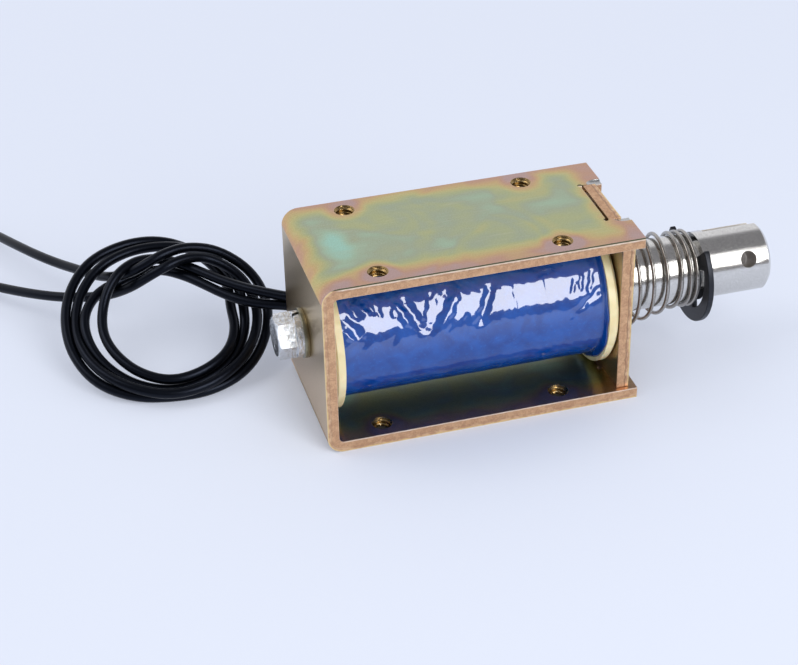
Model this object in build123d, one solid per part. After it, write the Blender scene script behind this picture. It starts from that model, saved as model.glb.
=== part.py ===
"""Open-frame pull solenoid: a bent steel channel, a wound bobbin and a sprung plunger.

Millimetres. The origin is the centre of the tapped hole pattern in the channel's
underside. +X runs along the plunger axis towards its forked end, +Y to the side that
the lead wires leave from, and +Z is up.
"""
import math
import os

from build123d import *

# Channel and its front plate
FRAME_LENGTH = 64.0
FRAME_WIDTH = 32.0
FRAME_HEIGHT = 37.0
CHANNEL_SHEET = 2.3
CHANNEL_BEND_INSIDE = 1.0
END_SHEET = 2.6
END_PLATE_INSET = 1.5
END_PLATE_SETBACK = 1.0
TAB_WIDTH = 14.3
TAB_SIDE_GAP = 0.05
NOTCH_RELIEF_GAP = 0.6
NOTCH_RELIEF_RADIUS = 0.5

# Tapped mounting holes, four in each long plate
HOLE_FROM_REAR = 11.9
HOLE_FROM_FRONT = 15.5
HOLE_FROM_SIDE = 3.8
TAPPED_RADIUS = 1.65
TAPPED_CHAMFER = 0.45

# Plunger, core and guide tube
AXIS_BELOW_MIDDLE = 0.2
PLUNGER_RADIUS = 7.0
PLUNGER_LENGTH = 69.0
PLUNGER_REACH = 32.2
PLUNGER_CHAMFER = 0.7
NOSE_SHOULDER = 0.6
NOSE_TIP_RADIUS = 2.0
NOSE_LENGTH = 5.0
STROKE = 10.0
SEAT_CLEARANCE = 0.3
RUNNING_CLEARANCE = 0.06
GUIDE_TUBE_WALL = 0.5
FIXED_FIT = 0.03

# Fork at the plunger's outer end
PLUNGER_ROLL = 28.0
SLOT_WIDTH = 4.0
SLOT_DEPTH = 12.0
CROSS_HOLE_RADIUS = 1.75
CROSS_HOLE_FROM_END = 5.0

# Retaining clip and its groove
CLIP_THICKNESS = 1.2
CLIP_RIM = 2.0
CLIP_LOBE_GAP = 1.2
CLIP_GROOVE_DEPTH = 2.0
CLIP_GROOVE_PLAY = 0.05
CLIP_FROM_END = 14.4
CLIP_MOUTH_ANGLE = 101.5
CLIP_MOUTH_HALF_ANGLE = 48.0
CLIP_ARM_PRONG_ANGLE = 26.0
CLIP_MIDDLE_PRONG_WIDTH = 4.4

# Conical return spring
SPRING_WIRE = 1.0
SPRING_PITCH = 3.25
SPRING_FLARE = 3.2
SPRING_PLUNGER_GAP = 0.1
SPRING_END_GAP = 0.05

# Bobbin and coil
BOBBIN_FLANGE_CLEARANCE = 0.4
BOBBIN_FLANGE = 2.0
BOBBIN_FLANGE_ROUND = 0.6
BOBBIN_WALL = 1.0
BOBBIN_END_PLAY = 0.3
WINDING_BELOW_FLANGE = 2.4
WINDING_GAP = 0.02
TAPE_THICKNESS = 0.4
LEAD_NOTCH_DEPTH = 2.4
POCKET_FLOOR = 0.6

# Rear screw and washers
SCREW_RADIUS = 2.5
SCREW_LENGTH = 12.0
SCREW_HEAD_FLATS = 8.0
SCREW_HEAD_HEIGHT = 3.8
SCREW_HOLE_CLEARANCE = 0.15
RECESS_SPAN = 5.0
RECESS_SLOT = 0.9
RECESS_DEPTH = 1.2
FLAT_WASHER_RADIUS = 5.0
FLAT_WASHER_SHEET = 1.0
SPRING_WASHER_RADIUS = 4.6
SPRING_WASHER_SHEET = 1.3
SPRING_WASHER_SPLIT = 0.8
THREAD_DEPTH_EXTRA = 2.0

# Two lead wires
LEAD_DIAMETER = 2.1
LEAD_BEND_SHARE = 0.45
LEAD_TIP_RADIUS = 0.6
LEAD_TIP_LENGTH = 6.0
LEAD_CLEARANCE = 0.25
SLEEVE_WALL = 0.3
SLEEVE_LENGTH = 7.5
SLEEVE_OVERLAP = 2.6
SOLDER_RADIUS = 0.7

LEAD_UPPER_EXIT = [
    (-12.0, 11.0, 15.9),
    (-17.0, 11.5, 15.8),
    (-21.8, 13.5, 15.65),
    (-26.2, 16.2, 15.5),
    (-30.4, 19.1, 15.4),
    (-34.0, 21.7, 15.5),
    (-37.5, 24.6, 15.6),
    (-41.0, 27.9, 15.9),
]
LEAD_LOWER_EXIT = [
    (-12.0, 9.9, 12.9),
    (-17.0, 10.2, 12.95),
    (-21.6, 12.6, 13.1),
    (-25.2, 16.0, 13.3),
    (-29.8, 18.5, 13.4),
    (-34.2, 20.3, 13.4),
    (-38.1, 22.7, 13.6),
    (-41.5, 26.0, 14.1),
]
LEAD_UPPER_TAIL = [
    (-61.2, 38.8, 14.4),
    (-63.8, 42.9, 12.4),
    (-66.0, 47.6, 10.9),
    (-68.4, 52.1, 9.9),
    (-71.3, 57.1, 8.8),
    (-75.3, 64.0, 7.8),
    (-79.6, 73.1, 6.4),
    (-83.6, 83.6, 4.2),
    (-88.0, 92.6, 2.3),
    (-93.2, 100.0, 1.2),
    (-98.8, 106.2, 1.05),
]
LEAD_LOWER_TAIL = [
    (-60.0, 38.4, 12.3),
    (-64.5, 40.0, 9.9),
    (-69.0, 42.8, 8.3),
    (-73.3, 46.1, 7.3),
    (-78.0, 50.7, 6.2),
    (-83.0, 56.7, 4.8),
    (-88.5, 64.0, 3.2),
    (-93.7, 71.8, 1.8),
    (-100.0, 78.4, 1.1),
    (-107.0, 83.0, 1.05),
]

# The loosely wound loop of both leads, a ring of oval section that leans back
LOOP_CENTRE_X = -53.3
LOOP_CENTRE_Y = 28.6
LOOP_TURN = -7.3
LOOP_TILT = 25.0
LOOP_MEAN_RADIUS = 16.8
LOOP_HALF_WIDTH = 6.3
LOOP_HALF_THICKNESS = 3.9
LOOP_RISE = 2.3

# Sizes and places that follow from the ones above
HOLE_SPACING_X = FRAME_LENGTH - HOLE_FROM_REAR - HOLE_FROM_FRONT
HOLE_SPACING_Y = FRAME_WIDTH - 2 * HOLE_FROM_SIDE
END_PLATE_WIDTH = FRAME_WIDTH - 2 * END_PLATE_SETBACK
AXIS_HEIGHT = FRAME_HEIGHT / 2 - AXIS_BELOW_MIDDLE
REAR_X = -(HOLE_FROM_REAR + HOLE_SPACING_X / 2)
FRONT_X = REAR_X + FRAME_LENGTH
REAR_INNER_X = REAR_X + CHANNEL_SHEET
END_OUTER_X = FRONT_X - END_PLATE_INSET
END_INNER_X = END_OUTER_X - END_SHEET
NOTCH_X = END_INNER_X - NOTCH_RELIEF_GAP
PLUNGER_END_X = FRONT_X + PLUNGER_REACH
PLUNGER_TIP_X = PLUNGER_END_X - PLUNGER_LENGTH
NOSE_BASE_X = PLUNGER_TIP_X + NOSE_LENGTH
CORE_FACE_X = NOSE_BASE_X - STROKE - SEAT_CLEARANCE
CLIP_X = PLUNGER_END_X - CLIP_FROM_END - CLIP_THICKNESS
CROSS_HOLE_X = PLUNGER_END_X - CROSS_HOLE_FROM_END
TUBE_INNER_RADIUS = PLUNGER_RADIUS + RUNNING_CLEARANCE
TUBE_OUTER_RADIUS = TUBE_INNER_RADIUS + GUIDE_TUBE_WALL
CORE_RADIUS = TUBE_INNER_RADIUS - FIXED_FIT
NOSE_BASE_RADIUS = PLUNGER_RADIUS - NOSE_SHOULDER
CLIP_GROOVE_RADIUS = PLUNGER_RADIUS - CLIP_GROOVE_DEPTH
CLIP_LOBE_RADIUS = PLUNGER_RADIUS + CLIP_LOBE_GAP
CLIP_OUTER_RADIUS = CLIP_LOBE_RADIUS + CLIP_RIM
SPRING_BIG_RADIUS = PLUNGER_RADIUS + SPRING_FLARE
BOBBIN_BORE_RADIUS = TUBE_OUTER_RADIUS + FIXED_FIT
BOBBIN_BARREL_RADIUS = BOBBIN_BORE_RADIUS + BOBBIN_WALL
BOBBIN_FLANGE_RADIUS = AXIS_HEIGHT - CHANNEL_SHEET - BOBBIN_FLANGE_CLEARANCE
BOBBIN_END_X = END_INNER_X - BOBBIN_END_PLAY
COIL_START_X = REAR_INNER_X + BOBBIN_FLANGE
COIL_END_X = BOBBIN_END_X - BOBBIN_FLANGE
WINDING_RADIUS = BOBBIN_FLANGE_RADIUS - WINDING_BELOW_FLANGE
TAPE_RADIUS = WINDING_RADIUS + TAPE_THICKNESS
SCREW_SHANK_RADIUS = SCREW_RADIUS - FIXED_FIT
FLAT_WASHER_X = REAR_X - FLAT_WASHER_SHEET
SPRING_WASHER_X = FLAT_WASHER_X - SPRING_WASHER_SHEET
SCREW_HEAD_X = SPRING_WASHER_X - SCREW_HEAD_HEIGHT
SLEEVE_RADIUS = LEAD_DIAMETER / 2 + FIXED_FIT + SLEEVE_WALL
PAST = 1.0


def x_cylinder(radius, start, end, y=0.0, z=AXIS_HEIGHT):
    """A solid cylinder along X."""
    placed = Pos(start, y, z) * Rot(0, 90, 0)
    return placed * Cylinder(radius, end - start, align=(Align.CENTER, Align.CENTER, Align.MIN))


def x_tube(inner, outer, start, end):
    """A round tube on the plunger axis."""
    return x_cylinder(outer, start, end) - x_cylinder(inner, start - PAST, end + PAST)


def block(low, high):
    """A box between two corners."""
    size = [b - a for a, b in zip(low, high)]
    middle = [(a + b) / 2 for a, b in zip(low, high)]
    return Pos(*middle) * Box(*size)


def save(shape, node):
    """Write one node's STEP file."""
    shape.label = node
    export_step(shape, f"parts/{node}.step")


def hole_places():
    """The four hole centres of one mounting pattern."""
    return [
        (sx * HOLE_SPACING_X / 2, sy * HOLE_SPACING_Y / 2)
        for sx in (-1, 1)
        for sy in (-1, 1)
    ]


def tapped_hole(x, y, bottom, top):
    """A tapped hole through one plate, with a lead-in chamfer at both faces."""
    wide = TAPPED_RADIUS + TAPPED_CHAMFER
    low = Pos(x, y, bottom + TAPPED_CHAMFER / 2) * Cone(wide, TAPPED_RADIUS, TAPPED_CHAMFER)
    high = Pos(x, y, top - TAPPED_CHAMFER / 2) * Cone(TAPPED_RADIUS, wide, TAPPED_CHAMFER)
    bore = Pos(x, y, (bottom + top) / 2) * Cylinder(TAPPED_RADIUS, top - bottom + PAST)
    return bore + low + high


def channel_frame():
    """The U of bent sheet: rear wall, top and bottom plates, with notches for the tabs."""
    length = FRONT_X - REAR_X
    outer = Pos(REAR_X + length / 2, FRAME_HEIGHT / 2) * Rectangle(length, FRAME_HEIGHT)
    rear = outer.vertices().sort_by(Axis.X)[:2]
    outer = fillet(rear, CHANNEL_BEND_INSIDE + CHANNEL_SHEET)
    inner_length = length - CHANNEL_SHEET + PAST
    inner_height = FRAME_HEIGHT - 2 * CHANNEL_SHEET
    inner = Pos(REAR_INNER_X + inner_length / 2, FRAME_HEIGHT / 2) * Rectangle(inner_length, inner_height)
    rear = inner.vertices().sort_by(Axis.X)[:2]
    inner = fillet(rear, CHANNEL_BEND_INSIDE)
    frame = extrude(Plane.XZ * (outer - inner), amount=FRAME_WIDTH / 2, both=True)
    for x, y in hole_places():
        frame -= tapped_hole(x, y, 0.0, CHANNEL_SHEET)
        frame -= tapped_hole(x, y, FRAME_HEIGHT - CHANNEL_SHEET, FRAME_HEIGHT)
    half_notch = TAB_WIDTH / 2 + TAB_SIDE_GAP
    frame -= block((NOTCH_X, -half_notch, -PAST), (FRONT_X + PAST, half_notch, FRAME_HEIGHT + PAST))
    for side in (-1, 1):
        relief = Cylinder(NOTCH_RELIEF_RADIUS, 2 * FRAME_HEIGHT + PAST)
        frame -= Pos(NOTCH_X, side * half_notch, FRAME_HEIGHT / 2) * relief
    frame -= x_cylinder(SCREW_RADIUS + SCREW_HOLE_CLEARANCE, REAR_X - PAST, REAR_INNER_X + PAST)
    return frame


def end_plate():
    """The front pole plate, with a tab in each notch and the bore for the guide tube."""
    half = END_PLATE_WIDTH / 2
    plate = block(
        (END_INNER_X, -half, CHANNEL_SHEET),
        (END_OUTER_X, half, FRAME_HEIGHT - CHANNEL_SHEET),
    )
    plate += block((END_INNER_X, -TAB_WIDTH / 2, 0.0), (END_OUTER_X, TAB_WIDTH / 2, FRAME_HEIGHT))
    bore = x_cylinder(TUBE_OUTER_RADIUS + FIXED_FIT, END_INNER_X - PAST, END_OUTER_X + PAST)
    return plate - bore


def lead_window(depth_radius, start, end):
    """The space beside the coil's back that the two leads pass through."""
    lows = [p[2] for p in LEAD_LOWER_EXIT[:4]]
    highs = [p[2] for p in LEAD_UPPER_EXIT[:4]]
    low = min(lows) - SLEEVE_RADIUS - LEAD_CLEARANCE
    high = max(highs) + SLEEVE_RADIUS + LEAD_CLEARANCE
    return block((start, depth_radius, low), (end, BOBBIN_FLANGE_RADIUS + PAST, high))


def bobbin():
    """The moulded spool, with a notch in its rear flange where the leads leave."""
    spool = x_cylinder(BOBBIN_BARREL_RADIUS, REAR_INNER_X, BOBBIN_END_X)
    spool += x_cylinder(BOBBIN_FLANGE_RADIUS, REAR_INNER_X, COIL_START_X)
    spool += x_cylinder(BOBBIN_FLANGE_RADIUS, COIL_END_X, BOBBIN_END_X)
    rims = [e for e in spool.edges().filter_by(GeomType.CIRCLE) if e.radius > BOBBIN_BARREL_RADIUS + PAST]
    rims = ShapeList(rims).sort_by(Axis.X)
    spool = fillet([rims[0], rims[-1]], BOBBIN_FLANGE_ROUND)
    spool -= x_cylinder(BOBBIN_BORE_RADIUS, REAR_INNER_X - PAST, BOBBIN_END_X + PAST)
    notch_bottom = BOBBIN_FLANGE_RADIUS - LEAD_NOTCH_DEPTH
    return spool - lead_window(notch_bottom, REAR_INNER_X - PAST, COIL_START_X + PAST / 2)


def splice_pocket():
    """The hollow in the winding's last layers that holds the two lead splices."""
    start = COIL_START_X - PAST
    end = LEAD_UPPER_EXIT[0][0] + SLEEVE_LENGTH - SLEEVE_OVERLAP + LEAD_CLEARANCE
    depth = LEAD_LOWER_EXIT[0][1] - SLEEVE_RADIUS - LEAD_CLEARANCE
    floor = x_cylinder(BOBBIN_BARREL_RADIUS + POCKET_FLOOR, start - PAST, end + PAST)
    return lead_window(depth, start, end) - floor


def winding():
    """The magnet wire as one solid mass of turns."""
    inner = BOBBIN_BARREL_RADIUS + WINDING_GAP
    coil = x_tube(inner, WINDING_RADIUS, COIL_START_X, COIL_END_X)
    return coil - splice_pocket()


def coil_tape():
    """The wrapped insulating tape, open where the leads come out from under it."""
    tape = x_tube(WINDING_RADIUS, TAPE_RADIUS, COIL_START_X, COIL_END_X)
    return tape - lead_window(WINDING_RADIUS / 2, COIL_START_X - PAST, LEAD_UPPER_EXIT[1][0])


def guide_tube():
    """The brass tube that the plunger slides in."""
    return x_tube(TUBE_INNER_RADIUS, TUBE_OUTER_RADIUS, REAR_INNER_X, END_OUTER_X)


def conical_nose(base_x):
    """The cone that ends the plunger and that the core's seat matches."""
    cone = Cone(NOSE_BASE_RADIUS, NOSE_TIP_RADIUS, NOSE_LENGTH)
    return Pos(base_x - NOSE_LENGTH / 2, 0, AXIS_HEIGHT) * Rot(0, -90, 0) * cone


def fixed_core():
    """The steel core behind the plunger, with a conical seat and a tapped rear hole."""
    core = x_cylinder(CORE_RADIUS, REAR_INNER_X, CORE_FACE_X) - conical_nose(CORE_FACE_X)
    thread_end = SPRING_WASHER_X + SCREW_LENGTH + THREAD_DEPTH_EXTRA
    return core - x_cylinder(SCREW_RADIUS, REAR_INNER_X - PAST, thread_end)


def rear_screw():
    """The hexagon head screw that pulls the core against the rear wall."""
    head_radius = SCREW_HEAD_FLATS / math.sqrt(3)
    hexagon = Plane.YZ.offset(SCREW_HEAD_X) * Pos(0, AXIS_HEIGHT) * RegularPolygon(head_radius, 6)
    head = extrude(hexagon, amount=SCREW_HEAD_HEIGHT)
    shank = x_cylinder(SCREW_SHANK_RADIUS, SPRING_WASHER_X - PAST, SPRING_WASHER_X + SCREW_LENGTH)
    cross = Box(2 * RECESS_DEPTH, RECESS_SLOT, RECESS_SPAN)
    cross += Box(2 * RECESS_DEPTH, RECESS_SPAN, RECESS_SLOT)
    return head + shank - Pos(SCREW_HEAD_X, 0, AXIS_HEIGHT) * cross


def washer(radius, start, sheet):
    """A plain washer under the rear screw's head."""
    return x_tube(SCREW_RADIUS + SCREW_HOLE_CLEARANCE, radius, start, start + sheet)


def spring_washer():
    """The split lock washer."""
    ring = washer(SPRING_WASHER_RADIUS, SPRING_WASHER_X, SPRING_WASHER_SHEET)
    middle = SPRING_WASHER_X + SPRING_WASHER_SHEET / 2
    split = Pos(middle, 0, AXIS_HEIGHT + SPRING_WASHER_RADIUS) * Rot(0, 0, 20) * Box(
        4 * SPRING_WASHER_SHEET, SPRING_WASHER_SPLIT, 2 * SPRING_WASHER_RADIUS - SCREW_RADIUS
    )
    return ring - split


def plunger():
    """The sliding armature: conical nose, clip groove, fork slot and cross hole."""
    body = x_cylinder(PLUNGER_RADIUS, NOSE_BASE_X, PLUNGER_END_X)
    rim = body.edges().sort_by(Axis.X)[-1]
    body = chamfer(rim, PLUNGER_CHAMFER)
    body += conical_nose(NOSE_BASE_X)
    groove = x_tube(
        CLIP_GROOVE_RADIUS,
        PLUNGER_RADIUS + PAST,
        CLIP_X - CLIP_GROOVE_PLAY,
        CLIP_X + CLIP_THICKNESS + CLIP_GROOVE_PLAY,
    )
    body -= groove
    fork_turn = Pos(0, 0, AXIS_HEIGHT) * Rot(-PLUNGER_ROLL, 0, 0)
    span = 2 * PLUNGER_RADIUS + PAST
    slot_length = SLOT_DEPTH + PAST
    slot_x = PLUNGER_END_X - SLOT_DEPTH + slot_length / 2
    body -= fork_turn * Pos(slot_x, 0, 0) * Box(slot_length, SLOT_WIDTH, span)
    body -= fork_turn * Pos(CROSS_HOLE_X, 0, 0) * Rot(90, 0, 0) * Cylinder(CROSS_HOLE_RADIUS, span)
    return body


def sector(radius, half_angle):
    """A flat pie slice about local +X, as a sketch."""
    a = math.radians(half_angle)
    corner = Vector(radius * math.cos(a), radius * math.sin(a))
    mirror = Vector(corner.X, -corner.Y)
    arc = ThreePointArc(corner, Vector(radius, 0), mirror)
    return make_face(Curve() + [Line((0, 0), corner), arc, Line(mirror, (0, 0))])


def e_clip():
    """The open retaining ring, seated in the plunger's groove on three prongs."""
    seat = CLIP_GROOVE_RADIUS + CLIP_GROOVE_PLAY
    ring = Circle(CLIP_OUTER_RADIUS) - Circle(CLIP_LOBE_RADIUS)
    middle = Pos(-(seat + CLIP_LOBE_RADIUS) / 2, 0) * Rectangle(
        CLIP_LOBE_RADIUS - seat + PAST, CLIP_MIDDLE_PRONG_WIDTH
    )
    arm_limit = CLIP_MOUTH_HALF_ANGLE + CLIP_ARM_PRONG_ANGLE
    arms = Circle(CLIP_LOBE_RADIUS + PAST / 2) & sector(4 * CLIP_OUTER_RADIUS, arm_limit)
    flat = ring + middle + arms - Circle(seat)
    flat -= sector(2 * CLIP_OUTER_RADIUS, CLIP_MOUTH_HALF_ANGLE)
    turn = 180.0 - CLIP_MOUTH_ANGLE
    placed = Plane.YZ.offset(CLIP_X) * Pos(0, AXIS_HEIGHT) * Rot(0, 0, turn) * flat
    return extrude(placed, amount=CLIP_THICKNESS)


def return_spring():
    """The left-hand conical spring between the end plate and the clip."""
    start = END_OUTER_X + SPRING_WIRE / 2 + SPRING_END_GAP
    height = CLIP_X - SPRING_WIRE / 2 - SPRING_END_GAP - start
    small = PLUNGER_RADIUS + SPRING_PLUNGER_GAP + SPRING_WIRE / 2
    taper = math.degrees(math.atan((SPRING_BIG_RADIUS - small) / height))
    path = Helix(
        SPRING_PITCH,
        height,
        SPRING_BIG_RADIUS,
        center=(start, 0, AXIS_HEIGHT),
        direction=(1, 0, 0),
        cone_angle=-taper,
        lefthand=True,
    )
    section = Plane(origin=path @ 0, z_dir=path % 0) * Circle(SPRING_WIRE / 2)
    return sweep(section, path, is_frenet=True)


def lead_tube(points, name):
    """A round tube along straight runs and tangent arcs, with its radii printed."""
    places = [Vector(*p) for p in points]
    runs = [b - a for a, b in zip(places, places[1:])]
    radii = []
    for before, after in zip(runs, runs[1:]):
        half_turn = math.radians(before.get_angle(after)) / 2
        radii.append(LEAD_BEND_SHARE * min(before.length, after.length) / math.tan(half_turn))
    path = FilletPolyline(*points, radius=radii)
    section = Plane(origin=path @ 0, z_dir=path % 0) * Circle(LEAD_DIAMETER / 2)
    tube = sweep(section, path)
    expected = math.pi * LEAD_DIAMETER**2 / 4 * path.length
    print(name, "length", round(path.length, 1), "least radius", round(min(radii), 1))
    print(name, "volume over section times length", round(tube.volume / expected, 4))
    return tube


def run_cylinder(points, radius, start, end):
    """A cylinder along a run from its first point, between two distances."""
    first = Vector(*points[0])
    along = (Vector(*points[1]) - first).normalized()
    base = Plane(origin=first + along * start, z_dir=along)
    return base * Cylinder(radius, end - start, align=(Align.CENTER, Align.CENTER, Align.MIN))


def splice_sleeve(points):
    """The insulating sleeve over one lead's splice."""
    inner = LEAD_DIAMETER / 2 + FIXED_FIT
    back = SLEEVE_OVERLAP - SLEEVE_LENGTH
    outside = run_cylinder(points, SLEEVE_RADIUS, back, SLEEVE_OVERLAP)
    return outside - run_cylinder(points, inner, back - PAST, SLEEVE_OVERLAP + PAST)


def solder_joint(points):
    """The soldered end of one lead and its magnet wire, inside the sleeve."""
    return run_cylinder(points, SOLDER_RADIUS, SLEEVE_OVERLAP - SLEEVE_LENGTH, 0.0)


def lead_tip(points):
    """The stripped and tinned end of one lead."""
    return run_cylinder([points[-1], points[-2]], LEAD_TIP_RADIUS, -LEAD_TIP_LENGTH, 0.0)


def lead_loop():
    """The outer shape of the loop of both leads, leaning back with its lowest point at z = 0."""
    tilt = math.radians(LOOP_TILT)
    section_drop = math.hypot(
        LOOP_HALF_WIDTH * math.sin(tilt),
        LOOP_HALF_THICKNESS * math.cos(tilt),
    )
    centre_drop = LOOP_MEAN_RADIUS * math.sin(tilt) - LOOP_RISE * math.cos(tilt)
    place = Pos(LOOP_CENTRE_X, LOOP_CENTRE_Y, section_drop + centre_drop)
    oval = Ellipse(LOOP_HALF_WIDTH, LOOP_HALF_THICKNESS)
    section = Plane.XZ * Pos(LOOP_MEAN_RADIUS, LOOP_RISE) * oval
    return place * Rot(0, 0, LOOP_TURN) * Rot(LOOP_TILT, 0, 0) * revolve(section, Axis.Z)


def main():
    """Build every node and write it."""
    os.makedirs("parts", exist_ok=True)
    save(channel_frame(), "channel_frame")
    save(end_plate(), "end_plate")
    save(bobbin(), "bobbin")
    save(guide_tube(), "guide_tube")
    save(winding(), "winding")
    save(coil_tape(), "coil_tape")
    save(fixed_core(), "fixed_core")
    save(rear_screw(), "rear_screw")
    save(spring_washer(), "spring_washer")
    save(washer(FLAT_WASHER_RADIUS, FLAT_WASHER_X, FLAT_WASHER_SHEET), "flat_washer")
    save(plunger(), "plunger")
    save(e_clip(), "e_clip")
    save(return_spring(), "return_spring")
    save(splice_sleeve(LEAD_UPPER_EXIT), "splice_sleeve_upper")
    save(splice_sleeve(LEAD_LOWER_EXIT), "splice_sleeve_lower")
    save(solder_joint(LEAD_UPPER_EXIT), "solder_joint_upper")
    save(solder_joint(LEAD_LOWER_EXIT), "solder_joint_lower")
    save(lead_tube(LEAD_UPPER_EXIT, "upper lead exit"), "lead_upper_exit")
    save(lead_tube(LEAD_LOWER_EXIT, "lower lead exit"), "lead_lower_exit")
    save(lead_loop(), "lead_loop")
    save(lead_tube(LEAD_UPPER_TAIL, "upper lead tail"), "lead_upper_tail")
    save(lead_tube(LEAD_LOWER_TAIL, "lower lead tail"), "lead_lower_tail")
    save(lead_tip(LEAD_UPPER_TAIL), "lead_upper_tip")
    save(lead_tip(LEAD_LOWER_TAIL), "lead_lower_tip")


main()
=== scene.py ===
"""Looks of an open-frame pull solenoid: a passivated steel channel round a taped coil.

Metres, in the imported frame: +X runs along the plunger towards its forked end, +Y is the
side that the leads leave from, and +Z is up.
"""

import logging
import math
from dataclasses import dataclass
from enum import Enum, IntEnum

import bmesh
import bpy
from mathutils import Matrix, Vector


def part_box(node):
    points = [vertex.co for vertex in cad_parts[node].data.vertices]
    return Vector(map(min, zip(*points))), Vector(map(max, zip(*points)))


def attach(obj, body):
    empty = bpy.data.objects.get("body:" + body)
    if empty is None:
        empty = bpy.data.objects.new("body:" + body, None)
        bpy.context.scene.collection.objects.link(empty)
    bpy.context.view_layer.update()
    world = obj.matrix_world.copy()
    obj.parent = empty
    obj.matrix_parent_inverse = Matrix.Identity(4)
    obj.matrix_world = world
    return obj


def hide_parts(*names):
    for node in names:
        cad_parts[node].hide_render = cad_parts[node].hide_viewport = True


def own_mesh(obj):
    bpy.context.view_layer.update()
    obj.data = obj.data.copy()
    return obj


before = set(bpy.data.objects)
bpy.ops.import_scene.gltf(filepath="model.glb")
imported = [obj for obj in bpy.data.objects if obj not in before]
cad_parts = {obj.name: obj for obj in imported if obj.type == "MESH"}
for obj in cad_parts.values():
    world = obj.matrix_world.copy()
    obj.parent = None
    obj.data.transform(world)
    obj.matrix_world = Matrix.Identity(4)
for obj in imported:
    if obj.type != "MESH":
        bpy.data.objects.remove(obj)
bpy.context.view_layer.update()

LOG = logging.getLogger("solenoid")
MM = 0.001
MERGE_DISTANCE = 0.002 * MM
FULL_TURN = 2 * math.pi
QUARTER_TURN = math.pi / 2
X_AXIS = (1.0, 0.0, 0.0)
Z_AXIS = (0.0, 0.0, 1.0)
UNTURNED = Matrix.Identity(4)
# How far a cutter reaches past the piece that it cuts
PAST = 1.0 * MM
# A face looks along an axis where its normal's part along it is past this
LOOKS_ALONG = 0.5
FLAT_ENOUGH = 0.99999

Object = bpy.types.Object
Material = bpy.types.Material
Node = bpy.types.Node
Socket = bpy.types.NodeSocket
Mesh = bmesh.types.BMesh
Triple = tuple[float, float, float]
Colour = tuple[float, float, float, float]
Tones = tuple[Colour, Colour]
Profile = list[tuple[float, float]]
Value = Socket | float | Triple | Colour


def linear(red: int, green: int, blue: int) -> Colour:
    """Change a colour of 0 to 255 a channel into the linear values that shaders read.

    Args:
        red: Red, from 0 to 255.
        green: Green, from 0 to 255.
        blue: Blue, from 0 to 255.

    Returns:
        The linear colour with an alpha of 1.
    """
    channels = [c / 255 for c in (red, green, blue)]
    decoded = [c / 12.92 if c <= 0.04045 else ((c + 0.055) / 1.055) ** 2.4 for c in channels]
    return (decoded[0], decoded[1], decoded[2], 1.0)


def smoothstep(low: float, high: float, value: float) -> float:
    """Rise smoothly from 0 at low to 1 at high.

    Args:
        low: Where the rise starts.
        high: Where it ends.
        value: The place to read.

    Returns:
        The height there, from 0 to 1.
    """
    share = min(max((value - low) / (high - low), 0.0), 1.0)
    return share * share * (3 - 2 * share)


class Body(Enum):
    """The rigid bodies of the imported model."""

    FRAME = "frame"
    CLIP = "clip"
    PLUNGER = "plunger"


class FaceKind(IntEnum):
    """The material index of a steel piece's faces."""

    SKIN = 0
    CUT = 1
    THREAD = 2
    STAKED = 3


# Mesh tools


def link_new(name: str, data: bpy.types.ID) -> Object:
    """Make an object of its data and link it to the scene.

    Args:
        name: The object's name.
        data: Its mesh, curve, lamp or camera data.

    Returns:
        The object.
    """
    made = bpy.data.objects.new(name, data)
    bpy.context.scene.collection.objects.link(made)
    return made


def new_piece(bm: Mesh, name: str, smooth: bool = True, face_index: int = 0) -> Object:
    """Close a bmesh's seams, turn its faces outwards and link it as an object.

    Args:
        bm: The finished bmesh, which is freed.
        name: The new object's name.
        smooth: Whether its faces are shaded smooth.
        face_index: The material index of its faces.

    Returns:
        The object, at the origin with its place in its mesh.
    """
    bmesh.ops.remove_doubles(bm, verts=bm.verts, dist=MERGE_DISTANCE)
    bmesh.ops.recalc_face_normals(bm, faces=bm.faces)
    for face in bm.faces:
        face.smooth = smooth
        face.material_index = face_index
    mesh = bpy.data.meshes.new(name)
    bm.to_mesh(mesh)
    bm.free()
    return link_new(name, mesh)


def dress(piece: Object, *materials: Material) -> None:
    """Give a piece its materials in place of those that it has.

    Args:
        piece: The piece.
        materials: Its materials, in the order of its faces' material indices.
    """
    piece.data.materials.clear()
    for material in materials:
        piece.data.materials.append(material)


def settle(piece: Object) -> None:
    """Apply every modifier of a piece, whose mesh is replaced.

    Args:
        piece: The piece.
    """
    graph = bpy.context.evaluated_depsgraph_get()
    mesh = bpy.data.meshes.new_from_object(piece.evaluated_get(graph))
    piece.modifiers.clear()
    old = piece.data
    piece.data = mesh
    bpy.data.meshes.remove(old)


def carve(piece: Object, cutters: list[Object], operation: str = "DIFFERENCE") -> None:
    """Cut a piece with closed cutters, which are then removed.

    Args:
        piece: The piece to cut.
        cutters: The closed objects that cut it.
        operation: The boolean operation.
    """
    for cutter in cutters:
        cut = piece.modifiers.new("cut", "BOOLEAN")
        cut.operation = operation
        cut.solver = "EXACT"
        cut.object = cutter
    settle(piece)
    for cutter in cutters:
        bpy.data.objects.remove(cutter)


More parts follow.
